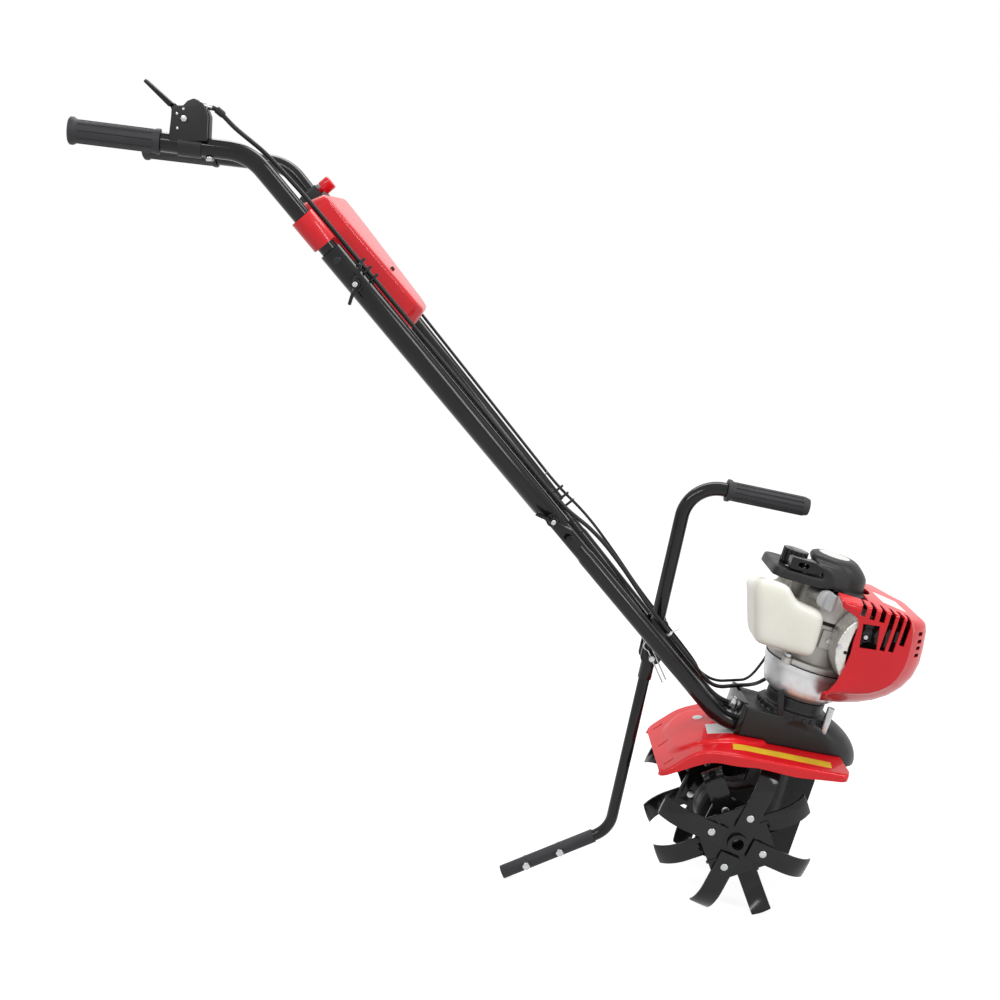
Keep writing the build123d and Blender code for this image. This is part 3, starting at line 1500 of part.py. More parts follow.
switch_y = bar_half(switch_s) - 29
with BuildPart() as switch_base:
    bar_line = side_plane(left).x_dir
    ring = Plane(bar_point(left, true_s(switch_s) - switch_length / 2), z_dir=bar_line)
    add(round_bar(ring, switch_ring, switch_length))
    with BuildSketch(Plane(run_point(switch_s, switch_y + 8, switch_foot), x_dir=run.x_dir, z_dir=run.z_dir)):
        RectangleRounded(switch_length, 40, 4)
    extrude(amount=switch_top - switch_foot)
    add(round_bar(Plane(ring.origin - bar_line * 20, z_dir=bar_line), bar_radius, switch_length + 40),
        mode=Mode.SUBTRACT)
    knob_line = Plane(run_point(switch_s, switch_y, switch_top), z_dir=run.z_dir)
    add(round_bar(knob_line, knob_stem + running, -(stem_depth + knob_travel + 1)), mode=Mode.SUBTRACT)
keep(switch_base.part, "switch_base")

with BuildPart() as stop_knob:
    add(round_bar(Plane(knob_line.origin - run.z_dir * stem_depth, z_dir=run.z_dir), knob_stem,
                  stem_depth + knob_travel + 1))
    knob_foot = Plane(knob_line.origin + run.z_dir * (knob_travel + 1), z_dir=run.z_dir)
    add(round_bar(knob_foot, knob_radius, knob_height))
    fillet(stop_knob.faces().sort_by(Axis(run.origin, run.z_dir))[-1].edges(), 2)
keep(stop_knob.part, "stop_knob")

lever_y = side_plane(right).from_local_coords(on_side(right, lever_x, corner_z + 8)).Y
fin_half = 2.5
lever_face = lever_y - fin_half - 0.6
with BuildPart() as throttle_bracket:
    corner = Vector(corner_x, -corner_half, corner_z)
    grip_run = (Vector(grip_x, -grip_half, grip_z) - corner).normalized()
    ring_start = corner + grip_run * (lever_distance - bracket_ring_length / 2)
    add(round_bar(Plane(ring_start, z_dir=grip_run), bracket_ring, bracket_ring_length))
    with BuildSketch(across_at(lever_x, lever_z, lever_y + fin_half)):
        with BuildLine():
            FilletPolyline((-13, 14), (11, 21), (25, 6), (23, -20), (-7, -22), radius=5, close=True)
        make_face()
    extrude(amount=2 * fin_half)
    add(round_bar(across_at(lever_x, lever_z, lever_y), lever_pin, fin_half + 0.6 + lever_thickness + 0.6))
    add(round_bar(across_at(lever_x, lever_z, lever_face - lever_thickness - 0.6), lever_pin + 2.5, 2.5))
    stub_line = Vector(cos(radians(stub_fall)), 0, -sin(radians(stub_fall)))
    stub = Plane((lever_x + 14, lever_y, lever_z + 13), z_dir=stub_line)
    add(round_bar(stub, stub_radius, stub_length))
    add(round_bar(Plane(ring_start - grip_run * 20, z_dir=grip_run), bar_radius, bracket_ring_length + 40),
        mode=Mode.SUBTRACT)
keep(throttle_bracket.part, "throttle_bracket")

with BuildPart() as throttle_lever:
    with BuildSketch(across_at(lever_x, lever_z, lever_face)):
        Circle(8)
        with Locations((lever_length * cos(radians(lever_angle)), lever_length * sin(radians(lever_angle)))):
            Circle(3.5)
        make_hull()
        Circle(lever_pin + running, mode=Mode.SUBTRACT)
    extrude(amount=lever_thickness)
keep(throttle_lever.part, "throttle_lever")


# Cables: one from the throttle along the right bar, one from the switch along the left bar
def cable(points, radius, name):
    """A round cable along straight runs and tangent arcs, each arc as large as its runs allow."""
    radii = []
    for before, here, after in zip(points, points[1:], points[2:]):
        first, second = here - before, after - here
        half_turn = radians(first.get_angle(second)) / 2
        radii.append(0.45 * min(first.length, second.length) / (sin(half_turn) / cos(half_turn)))
    with BuildPart() as tube:
        with BuildLine() as route:
            if radii:
                FilletPolyline(*points, radius=radii)
            else:
                Line(*points)
        with BuildSketch(Plane(route.line @ 0, z_dir=route.line % 0)):
            Circle(radius)
        sweep()
    length = sum(edge.length for edge in route.edges())
    share = tube.part.volume / (pi * radius ** 2 * length)
    print(f"{name}: length {length:.0f}, volume share {share:.4f}, radii {[round(bend) for bend in radii]}")
    return tube.part


stub_end = stub.origin + stub.z_dir * stub_length
clip_s = 62
cable_gap = 0.4
throttle_top = [
    stub_end, stub_end + stub.z_dir * 14, bar_point(right, corner_s - 6, 24),
    bar_point(right, corner_s - 44, 19.5), bar_point(right, corner_s - 96, 19), bar_point(right, clip_s, 19),
]
wire_top = [ring.origin + side_plane(left).y_dir * 18, bar_point(left, clip_s, 18)]
with BuildPart() as handle_cables:
    add(cable(throttle_top, cable_radius, "throttle cable on the handle"))
    add(cable(wire_top, wire_radius, "switch wire on the handle"))
keep(handle_cables.part, "handle_cables")

throttle_low = [
    bar_point(right, clip_s - cable_gap, 19), bar_point(right, clip_s - 26, 19), run_point(-14, -64, 30),
    run_point(-72, -54, 29), run_point(-134, -42, 22), run_point(-196, -31, 19),
    *[deck(neck_top + rise, u, y).origin for rise, u, y in throttle_route],
    deck(cylinder_w, carburettor_u - 15, carburettor_y).origin,
    deck(cylinder_w, carburettor_u, carburettor_y).origin,
]
wire_low = [
    bar_point(left, clip_s - cable_gap, 18), bar_point(left, clip_s - 26, 18), run_point(-18, 67, 25),
    run_point(-80, 57, 23), run_point(-142, 49, 18), run_point(-204, 43, 17),
    *[deck(neck_top + rise, u, y).origin for rise, u, y in wire_route],
]
with BuildPart() as engine_cables:
    add(cable(throttle_low, cable_radius, "throttle cable to the engine"))
    add(cable(wire_low, wire_radius, "switch wire to the engine"))
keep(engine_cables.part, "engine_cables")

# Bolts on the frame: drag shoe, handle plate, engine flange and the two pillars
with BuildPart() as frame_bolts:
    for distance in shoe_bolts:
        spot = drag_end - drag_line * distance
        add(round_bar(across_at(spot.X, spot.Y, shoe_radius + 4), bolt_radius, 2 * shoe_radius + 8))
        add(hex_head(across_at(spot.X, spot.Y, -shoe_radius - 0.3), 5.5, 3.5))
        add(hex_head(across_at(spot.X, spot.Y, shoe_radius + 4), 5.5, 3.5))
    for w in plate_bolts:
        add(round_bar(facing(plate_rear - 4, 0, w), bolt_radius, plate_u_thickness + housing_wall + 6))
        add(round_bar(facing(plate_rear, 0, w), 9, -1.6))
        add(hex_head(facing(plate_rear - 1.6, 0, w), 7, -5))
    with Locations(deck(clutch_top + lug_height, drive_u)):
        with PolarLocations(clutch_flange, 4, start_angle=lug_angle):
            Cylinder(5, 5, align=(Align.CENTER, Align.CENTER, Align.MIN))
    for side in (right, left):
        add(round_bar(deck(pillar_foot, pillar_u, side * pillar_y), pillar_radius, pillar_top - pillar_foot))
    add(hood_block(0), mode=Mode.SUBTRACT)
    for w in plate_bolts:
        add(round_bar(facing(plate_rear - 4, 0, w), bolt_radius, plate_u_thickness + housing_wall + 6))
keep(frame_bolts.part, "frame_bolts")
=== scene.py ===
"""Mini tiller: finishes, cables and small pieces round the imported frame.

+X is forward, +Z up, and -Y is the operator's right, as in the frame. The frame is in metres. Sizes and
places in this script are in millimetres, and mm turns them into metres.
"""

import json
from math import cos, hypot, pi, radians, sin, sqrt, tan

import bmesh
import bpy
from mathutils import Matrix, Vector
from mathutils.bvhtree import BVHTree

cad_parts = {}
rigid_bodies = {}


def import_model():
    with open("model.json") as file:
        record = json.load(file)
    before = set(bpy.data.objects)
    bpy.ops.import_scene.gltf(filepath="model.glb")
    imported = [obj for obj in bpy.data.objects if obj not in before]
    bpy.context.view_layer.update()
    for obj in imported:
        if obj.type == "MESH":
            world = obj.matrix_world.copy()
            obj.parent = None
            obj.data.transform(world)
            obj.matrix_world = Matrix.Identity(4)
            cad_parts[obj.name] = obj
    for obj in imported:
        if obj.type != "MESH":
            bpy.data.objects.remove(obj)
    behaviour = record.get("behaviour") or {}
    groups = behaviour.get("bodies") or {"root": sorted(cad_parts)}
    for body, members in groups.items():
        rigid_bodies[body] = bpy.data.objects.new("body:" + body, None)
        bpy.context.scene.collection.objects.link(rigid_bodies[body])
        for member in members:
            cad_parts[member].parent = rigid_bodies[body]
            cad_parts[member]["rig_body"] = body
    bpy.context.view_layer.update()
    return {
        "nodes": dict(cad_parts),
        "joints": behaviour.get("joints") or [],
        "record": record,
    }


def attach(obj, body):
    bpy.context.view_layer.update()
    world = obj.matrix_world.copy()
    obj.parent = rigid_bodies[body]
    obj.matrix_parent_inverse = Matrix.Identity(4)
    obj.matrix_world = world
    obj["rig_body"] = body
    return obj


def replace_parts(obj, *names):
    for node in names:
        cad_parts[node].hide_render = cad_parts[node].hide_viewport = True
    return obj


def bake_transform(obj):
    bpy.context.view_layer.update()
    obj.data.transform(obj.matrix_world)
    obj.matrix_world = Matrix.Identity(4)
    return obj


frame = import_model()
mm = 0.001

# Places, from the frame's joints and the machine's own angles
lean = radians(16)
along = Vector((cos(lean), 0, -sin(lean)))
upright = Vector((sin(lean), 0, cos(lean)))
across = Vector((0, 1, 0))
right, left = -1, 1
flanks = (("right", right), ("left", left))
joints = {joint["name"]: joint for joint in frame["joints"]}
axle = Vector(joints["tine_spin"]["pos_m"])
fold = Vector(joints["handle_fold"]["pos_m"])
lever_pivot = Vector(joints["throttle"]["pos_m"])
drive_u = 44
pivot_half = 68
corner_x, corner_half, corner_z = -328.3, 136, 986
grip_x, grip_half, grip_z = -527.3, 161.5, 1009.5


def at(x, y, z):
    """A point of the frame."""
    return Vector((x, y, z)) * mm


def deck(w, u=0, y=0):
    """A point over the deck, given from the axle: up the drive shaft, forward and across."""
    return axle + (along * u + across * y + upright * w) * mm


def bar_corner(side):
    """Where one handle bar bends back towards its grip."""
    return at(corner_x, side * corner_half, corner_z)


def bar_end(side):
    """The outer end of one handle bar."""
    return at(grip_x, side * grip_half, grip_z)


def bar_axes(side):
    """The pivot of one handle bar, the way up the bar, and the way over its upper side."""
    pivot = fold + across * (side * pivot_half * mm)
    rise = bar_corner(side) - pivot
    facing = (bar_end(side) - bar_corner(side)).cross(rise).normalized()
    up_bar = rise.normalized()
    return pivot, up_bar, facing.cross(up_bar)


def bar_point(side, s, height=0):
    """A point on one bar, by its distance from the pivot and a height over the bar's line."""
    pivot, up_bar, over = bar_axes(side)
    return pivot + (up_bar * s + over * height) * mm


corner_s = (Vector((corner_x, corner_half - pivot_half, corner_z)) - fold / mm).length
run = Vector((corner_x * mm - fold.x, 0, corner_z * mm - fold.z)).normalized()
over_run = Vector((run.z, 0, -run.x))


def run_point(s, y, height):
    """A point given along the handle's run, across the machine and over the bars."""
    return fold + (run * s + across * y + over_run * height) * mm


# Surfaces that pieces are set on, and where the lines that look for them start, outside the machine
surfaces = {}
past_flank, past_top, past_run, past_bolts = 400, 600, 200, 200


def learn(node, mesh):
    """Keeps a mesh as the surface of a node, for the pieces that are set on it."""
    corners = [vertex.co.copy() for vertex in mesh.vertices]
    surfaces[node] = BVHTree.FromPolygons(corners, [tuple(face.vertices) for face in mesh.polygons])


def met(node, start, heading):
    """Where a line first meets a node's surface, and the way that surface faces."""
    if node not in surfaces:
        learn(node, frame["nodes"][node].data)
    return surfaces[node].ray_cast(start, heading)[:2]


def on_flank(node, u, w):
    """A place on the near side of a node, found along a line across the machine."""
    return met(node, deck(w, u, right * past_flank), across)


def on_top(node, u, y):
    """A place on the upper side of a node, found along a line down the drive shaft."""
    return met(node, deck(past_top, u, y), -upright)


def on_run(node, s, y):
    """A place on the upper side of a node of the handle."""
    return met(node, run_point(s, y, past_run), -over_run)


def stand(place, facing, first):
    """The matrix that puts a shape on a place: its Z the way the place faces, its X near a first way."""
    ahead = (first - facing * first.dot(facing)).normalized()
    turn = Matrix((ahead, facing.cross(ahead), facing)).transposed()
    return Matrix.Translation(place) @ turn.to_4x4()


def fill(node, **values):
    """Sets a node's inputs; an underscore in a name stands for a space."""
    for socket, value in values.items():
        node.inputs[socket.replace("_", " ")].default_value = value


# The stretch of a noise that holds most of its values
noise_span = (0.3, 0.7)


class Finish:
    """One procedural material: a Principled shader and the patterns that feed it."""

    def __init__(self, name, colour, roughness, **values):
        self.material = bpy.data.materials.new(name)
        self.material.use_nodes = True
        self.material.diffuse_color = (*colour, 1)
        self.nodes = self.material.node_tree.nodes
        self.links = self.material.node_tree.links
        self.shader = self.nodes["Principled BSDF"]
        self.place = self.nodes.new("ShaderNodeTexCoord").outputs["Object"]
        self.colour = colour
        fill(self.shader, Base_Color=(*colour, 1), Roughness=roughness, **values)

    def pattern(self, kind, output, **values):
        """A texture laid by the piece's own coordinates."""
        texture = self.nodes.new(kind)
        fill(texture, **values)
        self.links.new(self.place, texture.inputs["Vector"])
        return texture.outputs[output]

    def noise(self, scale, detail=2.0):
        """A soft noise whose lumps are about one over the scale across, in metres."""
        return self.pattern("ShaderNodeTexNoise", "Fac", Scale=scale, Detail=detail)

    def cells(self, scale):
        """The distance to the nearest of many scattered points."""
        return self.pattern("ShaderNodeTexVoronoi", "Distance", Scale=scale)

    def mottle(self, pattern, dark, light):
        """Shifts the colour between two shades of itself by a pattern."""
        ramp = self.nodes.new("ShaderNodeValToRGB")
        for stop, position, shade in zip(ramp.color_ramp.elements, noise_span, (dark, light)):
            stop.position = position
            stop.color = (*(min(1, part * shade) for part in self.colour), 1)
        self.links.new(pattern, ramp.inputs["Fac"])
        self.links.new(ramp.outputs["Color"], self.shader.inputs["Base Color"])

    def polish(self, pattern, low, high):
        """Varies the roughness between two values by a pattern."""
        stretch = self.nodes.new("ShaderNodeMapRange")
        fill(stretch, From_Min=noise_span[0], From_Max=noise_span[1], To_Min=low, To_Max=high)
        self.links.new(pattern, stretch.inputs["Value"])
        self.links.new(stretch.outputs["Result"], self.shader.inputs["Roughness"])

    def bump(self, pattern, height):
        """Raises the surface by a pattern, to a height, and gives the finished material."""
        bump = self.nodes.new("ShaderNodeBump")
        fill(bump, Distance=height * mm)
        self.links.new(pattern, bump.inputs["Height"])
        self.links.new(bump.outputs["Normal"], self.shader.inputs["Normal"])
        return self.material


def gloss_paint(name, colour):
    """Sprayed gloss paint: a clear coat with faint orange peel."""
    paint = Finish(name, colour, 0.4, Specular_IOR_Level=0.2, Coat_Weight=0.4, Coat_Roughness=0.06)
    paint.mottle(paint.noise(14), 0.94, 1.04)
    return paint.bump(paint.noise(420, 1), 0.04)


def powder_coat(name, colour):
    """Baked powder coat: deep and glossy, with a fine pebbled skin."""
    coat = Finish(name, colour, 0.2, Specular_IOR_Level=0.3)
    coat.mottle(coat.noise(40), 0.8, 1.25)
    coat.polish(coat.noise(30), 0.1, 0.2)
    return coat.bump(coat.noise(900, 3), 0.02)


def moulded(name, colour, roughness):
    """Moulded plastic: an even colour with the fine stipple of its mould."""
    plastic = Finish(name, colour, roughness, Specular_IOR_Level=0.3)
    plastic.mottle(plastic.noise(25), 0.88, 1.12)
    plastic.polish(plastic.noise(60), roughness - 0.05, roughness + 0.07)
    return plastic.bump(plastic.noise(2200, 3), 0.06)


def rubber(name, colour):
    """Soft rubber: dull, with a little bloom and a grainy skin."""
    soft = Finish(name, colour, 0.6, Specular_IOR_Level=0.4)
    soft.mottle(soft.noise(35), 0.8, 1.3)
    return soft.bump(soft.noise(1600, 4), 0.12)


def cast_metal(name, colour, roughness):
    """Cast aluminium: a grainy skin with duller and brighter patches."""
    metal = Finish(name, colour, roughness, Metallic=0.75)
    metal.mottle(metal.noise(70, 5), 0.9, 1.08)
    metal.polish(metal.noise(120, 4), roughness - 0.05, roughness + 0.06)
    return metal.bump(metal.noise(1300, 4), 0.18)


def bright_metal(name, colour, roughness):
    """Plated or machined metal: fine scratches and a slight change of polish."""
    metal = Finish(name, colour, roughness, Metallic=1.0)
    metal.mottle(metal.noise(180, 3), 0.85, 1.08)
    metal.polish(metal.noise(260, 3), roughness - 0.08, roughness + 0.1)
    return metal.bump(metal.noise(3000, 2), 0.02)


def dimpled_sheet(name, colour):
    """Thin pressed sheet with shallow dimples all over."""
    sheet = Finish(name, colour, 0.38, Metallic=0.7)
    sheet.mottle(sheet.noise(60, 4), 0.86, 1.08)
    return sheet.bump(sheet.cells(260), 0.6)


def milky_plastic(name, colour):
    """Blow-moulded tank plastic: milky, letting some light through, a little yellow in places."""
    milk = Finish(name, colour, 0.36, Subsurface_Weight=0.55, Subsurface_Scale=0.02,
                  Subsurface_Radius=(1.0, 0.9, 0.7))
    milk.mottle(milk.noise(18), 0.95, 1.03)
    return milk.bump(milk.noise(260, 2), 0.2)


def braided(name, colour):
    """Braided cord: dull, with the fine knobbly skin of its strands."""
    cord = Finish(name, colour, 0.8, Sheen_Weight=0.2)
    cord.mottle(cord.noise(500, 3), 0.8, 1.1)
    return cord.bump(cord.cells(900), 0.5)


# Each finish with its maker, its colour and, where the maker asks for it, its roughness
finish_list = (
    ("red_paint", gloss_paint, (0.72, 0.006, 0.012)),
    ("red_plastic", gloss_paint, (0.66, 0.006, 0.014)),
    ("black_tube", powder_coat, (0.007, 0.007, 0.008)),
    ("black_plastic", moulded, (0.014, 0.014, 0.015), 0.42),
    ("black_gloss", powder_coat, (0.006, 0.006, 0.007)),
    ("grip_rubber", rubber, (0.022, 0.022, 0.025)),
    ("cable_jacket", moulded, (0.010, 0.010, 0.010), 0.36),
    ("rope", braided, (0.70, 0.69, 0.64)),
    ("zinc", bright_metal, (0.50, 0.51, 0.52), 0.32),
    ("steel", bright_metal, (0.5, 0.5, 0.5), 0.34),
    ("tine_black", powder_coat, (0.009, 0.009, 0.010)),
    ("bronze", bright_metal, (0.62, 0.42, 0.2), 0.3),
    ("grey_casting", cast_metal, (0.46, 0.45, 0.43), 0.5),
    ("silver_casting", cast_metal, (0.62, 0.63, 0.64), 0.36),
    ("black_casting", cast_metal, (0.016, 0.016, 0.017), 0.5),
    ("heat_shield", dimpled_sheet, (0.66, 0.65, 0.61)),
    ("tank_plastic", milky_plastic, (0.90, 0.89, 0.80)),
    ("oil_cap", moulded, (0.56, 0.57, 0.58), 0.36),
    ("strip_yellow", moulded, (0.78, 0.50, 0.03), 0.35),
    ("sheet_grey", moulded, (0.62, 0.62, 0.61), 0.4),
    ("sheet_white", moulded, (0.80, 0.80, 0.79), 0.35),
    ("tie_white", moulded, (0.75, 0.75, 0.73), 0.45),
    ("shadow_gap", moulded, (0.004, 0.004, 0.004), 0.6),
)
finishes = {name: maker(name, *values) for name, maker, *values in finish_list}

# Finishes of single nodes that differ from their slot's
wing_nuts = [f"wing_nut_{level}_{flank}" for level in ("upper", "lower") for flank, side in flanks]
node_finishes = {
    "fuel_cap": "black_gloss", "starter_grip": "black_gloss", "muffler": "black_gloss",
    "cylinder": "black_casting", "handle_bolts": "black_tube", **dict.fromkeys(wing_nuts, "black_tube"),
}
slot_of = {entry["node"]: entry["material_slot"] for entry in frame["record"]["subparts"]}

# Nodes that show, with the rounding of their edges
edge_rounding = {
    "console": 0.5, "stop_knob": 0.4, "lower_tubes": 0.4, "sleeve_right": 0.5, "sleeve_left": 0.5,
    "upper_tube_right": 0.4, "upper_tube_left": 0.4, "carry_tube": 0.4, "drag_bar": 0.4, "tube_bracket": 0.6,
    "base_plate": 0.8, "switch_base": 0.8, "air_cleaner": 0.8, "fuel_cap": 0.8, "starter_grip": 0.8,
    "grip_right": 0.6, "grip_left": 0.6, "carry_grip": 0.8, "drag_shoe": 0.8, "handle_bolts": 0.4,
    "frame_bolts": 0.4, "hitch_pin": 0.4, "tine_pins_and_rivets": 0.3, "tine_hub_right": 0.5,
    "tine_hub_left": 0.5, "tine_blades_right": 0.5, "tine_blades_left": 0.5, "gear_case_right": 1.0,
    "gear_case_left": 1.0, "crankcase": 0.8, "clutch_housing": 0.8, "heat_shield": 0.4, "oil_cap": 0.6,
    "cylinder": 0.4, "carburettor": 0.6, "muffler": 0.8, "hitch_clip": 0.1, **dict.fromkeys(wing_nuts, 0.6),
}


def finish_of(node):
    """The finish of a node: its own, or its slot's."""
    return finishes[node_finishes.get(node, slot_of[node])]


def placed(name, data):
    """An object of the scene that holds a mesh, a curve, a lamp or a camera."""
    holder = bpy.data.objects.new(name, data)
    bpy.context.collection.objects.link(holder)
    return holder


def settled(holder, name):
    """The plain mesh of an object with its modifiers applied; the object and its modifiers go."""
    bpy.context.view_layer.update()
    graph = bpy.context.evaluated_depsgraph_get()
    mesh = bpy.data.meshes.new_from_object(holder.evaluated_get(graph))
    mesh.name = name
    bpy.data.objects.remove(holder)
    return mesh


def meshed(name, shape, outward=False):
    """The mesh of a finished shape, with its faces turned outwards where that is asked for."""
    if outward:
        bmesh.ops.recalc_face_normals(shape, faces=shape.faces)
    mesh = bpy.data.meshes.new(name)
    shape.to_mesh(mesh)
    shape.free()
    return mesh


def finished(name, mesh, material, body, sharp=35):
    """A new piece of the machine, riding on a body where it has one, with a material."""
    piece = placed(name, mesh)
    mesh.materials.clear()
    mesh.materials.append(material)
    mesh.shade_smooth()
    mesh.set_sharp_from_angle(angle=radians(sharp))
    if body:
        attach(piece, body)
    return piece


def show(name, mesh, finish, body=None):
    """A new piece in one of the finishes, riding on a body where one is given."""
    return finished(name, mesh, finishes[finish], body)


def stand_in(node, kind, mesh, sharp=35):
    """Shows a mesh in place of a node, in the node's own finish and on its body."""
    body = frame["nodes"][node]["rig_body"]
    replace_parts(finished(f"{node}.{kind}", mesh, finish_of(node), body, sharp), node)


class Tree:
    """A Geometry Nodes tree in the making, with named inputs for its sizes."""

    def __init__(self, name, **sizes):
        self.group = bpy.data.node_groups.new(name, "GeometryNodeTree")
        sockets = self.group.interface
        sockets.new_socket("Geometry", in_out="INPUT", socket_type="NodeSocketGeometry")
        sockets.new_socket("Geometry", in_out="OUTPUT", socket_type="NodeSocketGeometry")
        self.inputs = {}
        for size, value in sizes.items():
            kind = "NodeSocketInt" if isinstance(value, int) else "NodeSocketFloat"
            socket = sockets.new_socket(size, in_out="INPUT", socket_type=kind)
            socket.default_value = value
            self.inputs[size] = socket.identifier
        finish = sockets.new_socket("Finish", in_out="INPUT", socket_type="NodeSocketMaterial")
        self.inputs["Finish"] = finish.identifier
        self.given = self.group.nodes.new("NodeGroupInput").outputs

    def node(self, kind, settings=(), **sockets):
        """Adds a node, its sockets fed by other sockets or by plain values, and gives its outputs."""
        made = self.group.nodes.new(kind)
        for setting, value in dict(settings).items():
            setattr(made, setting, value)
        for name, value in sockets.items():
            socket = made.inputs[name.replace("_", " ")]
            if isinstance(value, bpy.types.NodeSocket):
                self.group.links.new(value, socket)
            else:
                socket.default_value = value
        return made.outputs

    def close(self, instances):
        """Ends the tree with real meshes in their finish."""
        real = self.node("GeometryNodeRealizeInstances", Geometry=instances)["Geometry"]
        done = self.node("GeometryNodeSetMaterial", Geometry=real, Material=self.given["Finish"])["Geometry"]
        self.group.links.new(done, self.group.nodes.new("NodeGroupOutput").inputs["Geometry"])
        return self


def heads_tree():
    """One tapered head on each point, turned to the point's own aim; the crown is its upper radius."""
    tree = Tree("heads", Radius=4 * mm, Crown=2.4 * mm, Height=2 * mm, Sides=24)
    points = tree.node("GeometryNodeMeshToPoints", Mesh=tree.given["Geometry"])["Points"]
    head = tree.node("GeometryNodeMeshCone", Vertices=tree.given["Sides"], Radius_Top=tree.given["Crown"],
                     Radius_Bottom=tree.given["Radius"], Depth=tree.given["Height"])["Mesh"]
    aim = tree.node("GeometryNodeInputNamedAttribute", {"data_type": "FLOAT_VECTOR"}, Name="aim")
    turn = tree.node("FunctionNodeAlignRotationToVector", {"axis": "Z"}, Vector=aim["Attribute"])["Rotation"]
    heads = tree.node("GeometryNodeInstanceOnPoints", Points=points, Instance=head, Rotation=turn)
    return tree.close(heads["Instances"])


def ring_tree():
    """Bars set in a ring round Z, each turned by a twist from the way out."""
    tree = Tree("ring", Count=8, Radius=40 * mm, Long=6 * mm, Wide=3 * mm, High=2 * mm, Twist=0.0)
    given = tree.given
    points = tree.node("GeometryNodeMeshCircle", Vertices=given["Count"], Radius=given["Radius"])["Mesh"]
    size = tree.node("ShaderNodeCombineXYZ", X=given["Long"], Y=given["Wide"], Z=given["High"])["Vector"]
    bar = tree.node("GeometryNodeMeshCube", Size=size)["Mesh"]
    place = tree.node("GeometryNodeInputPosition")["Position"]
    outward = tree.node("FunctionNodeAlignRotationToVector", {"axis": "X", "pivot_axis": "Z"}, Vector=place)
    twist = tree.node("FunctionNodeAxisAngleToRotation", Axis=(0, 0, 1), Angle=given["Twist"])
    turn = tree.node("FunctionNodeRotateRotation", {"rotation_space": "LOCAL"},
                     Rotation=outward["Rotation"], Rotate_By=twist["Rotation"])["Rotation"]
    bars = tree.node("GeometryNodeInstanceOnPoints", Points=points, Instance=bar, Rotation=turn)
    return tree.close(bars["Instances"])


def row_tree():
    """Round pegs in a row along X."""
    tree = Tree("row", Count=3, Step=12 * mm, Radius=1.5 * mm, Height=7 * mm)
    step = tree.node("ShaderNodeCombineXYZ", X=tree.given["Step"])["Vector"]
    points = tree.node("GeometryNodeMeshLine", Count=tree.given["Count"], Offset=step)["Mesh"]
    peg = tree.node("GeometryNodeMeshCone", Vertices=12, Radius_Top=tree.given["Radius"],
                    Radius_Bottom=tree.given["Radius"], Depth=tree.given["Height"])["Mesh"]
    return tree.close(tree.node("GeometryNodeInstanceOnPoints", Points=points, Instance=peg)["Instances"])


head_maker, ring_maker, row_maker = heads_tree(), ring_tree(), row_tree()
head_sink = 0.3


def soften_edges(holder, width, segments=2, angle=40):
    """Adds a modifier that rounds the edges of an object that are sharper than an angle."""
    rounding = holder.modifiers.new("rounding", "BEVEL")
    rounding.width = width * mm
    rounding.segments = segments
    rounding.limit_method = "ANGLE"
    rounding.angle_limit = radians(angle)


def grown(name, tree, finish, soften, mesh=None, **sizes):
    """The plain mesh that a tree makes, with softened edges; counts and turns stay as they are given."""
    holder = placed("holder", mesh or bpy.data.meshes.new(name))
    maker = holder.modifiers.new("maker", "NODES")
    maker.node_group = tree.group
    maker[tree.inputs["Finish"]] = finishes[finish]
    for size, value in sizes.items():
        maker[tree.inputs[size]] = value if size in ("Count", "Sides", "Twist") else value * mm
    if soften:
        soften_edges(holder, soften)
    return settled(holder, name)


def fastened(name, places, finish, body, radius, height, sides=24, crown=0.6, soften=0.3):
    """Screw, bolt or rivet heads, one on each place, facing away from what carries them."""
    mesh = bpy.data.meshes.new(name)
    mesh.from_pydata([place - aim * (head_sink * mm) for place, aim in places], [], [])
    aims = mesh.attributes.new("aim", "FLOAT_VECTOR", "POINT")
    aims.data.foreach_set("vector", [part for place, aim in places for part in aim])
    made = grown(name, head_maker, finish, soften, mesh,
                 Radius=radius, Crown=radius * crown, Height=height, Sides=sides)
    show(name, made, finish, body)


def ringed(name, seat, finish, body, soften=0.3, **sizes):
    """A ring of bars on a seat."""
    made = grown(name, ring_maker, finish, soften, **sizes)
    made.transform(seat)
    show(name, made, finish, body)


def round_steps(count):
    """The cosine and sine of angles at even steps round a circle."""
    return [(cos(2 * pi * step / count), sin(2 * pi * step / count)) for step in range(count)]


def skin(shape, lines, closed=True):
    """Faces between each line of corners and the next; closed lines are rings."""
    for near, far in zip(lines, lines[1:]):
        for step in range(len(near) if closed else len(near) - 1):
            after = (step + 1) % len(near)
            shape.faces.new((near[step], near[after], far[after], far[step]))


def turned(name, seat, profile, finish, body, sides=48):
    """A round piece turned about the Z of its seat, from the radii and heights of its profile."""
    shape = bmesh.new()
    rings = []
    for radius, height in profile:
        circle = [at(radius * ahead, radius * aside, height) for ahead, aside in round_steps(sides)]
        rings.append([shape.verts.new(seat @ point) for point in circle])
    skin(shape, rings + rings[:1])
    return show(name, meshed(name, shape, outward=True), finish, body)


def rim(grid):
    """The corners round the edge of a grid."""
    first, last = grid[0][:-1], grid[-1][:0:-1]
    return first + [line[-1] for line in grid[:-1]] + last + [line[0] for line in grid[:0:-1]]


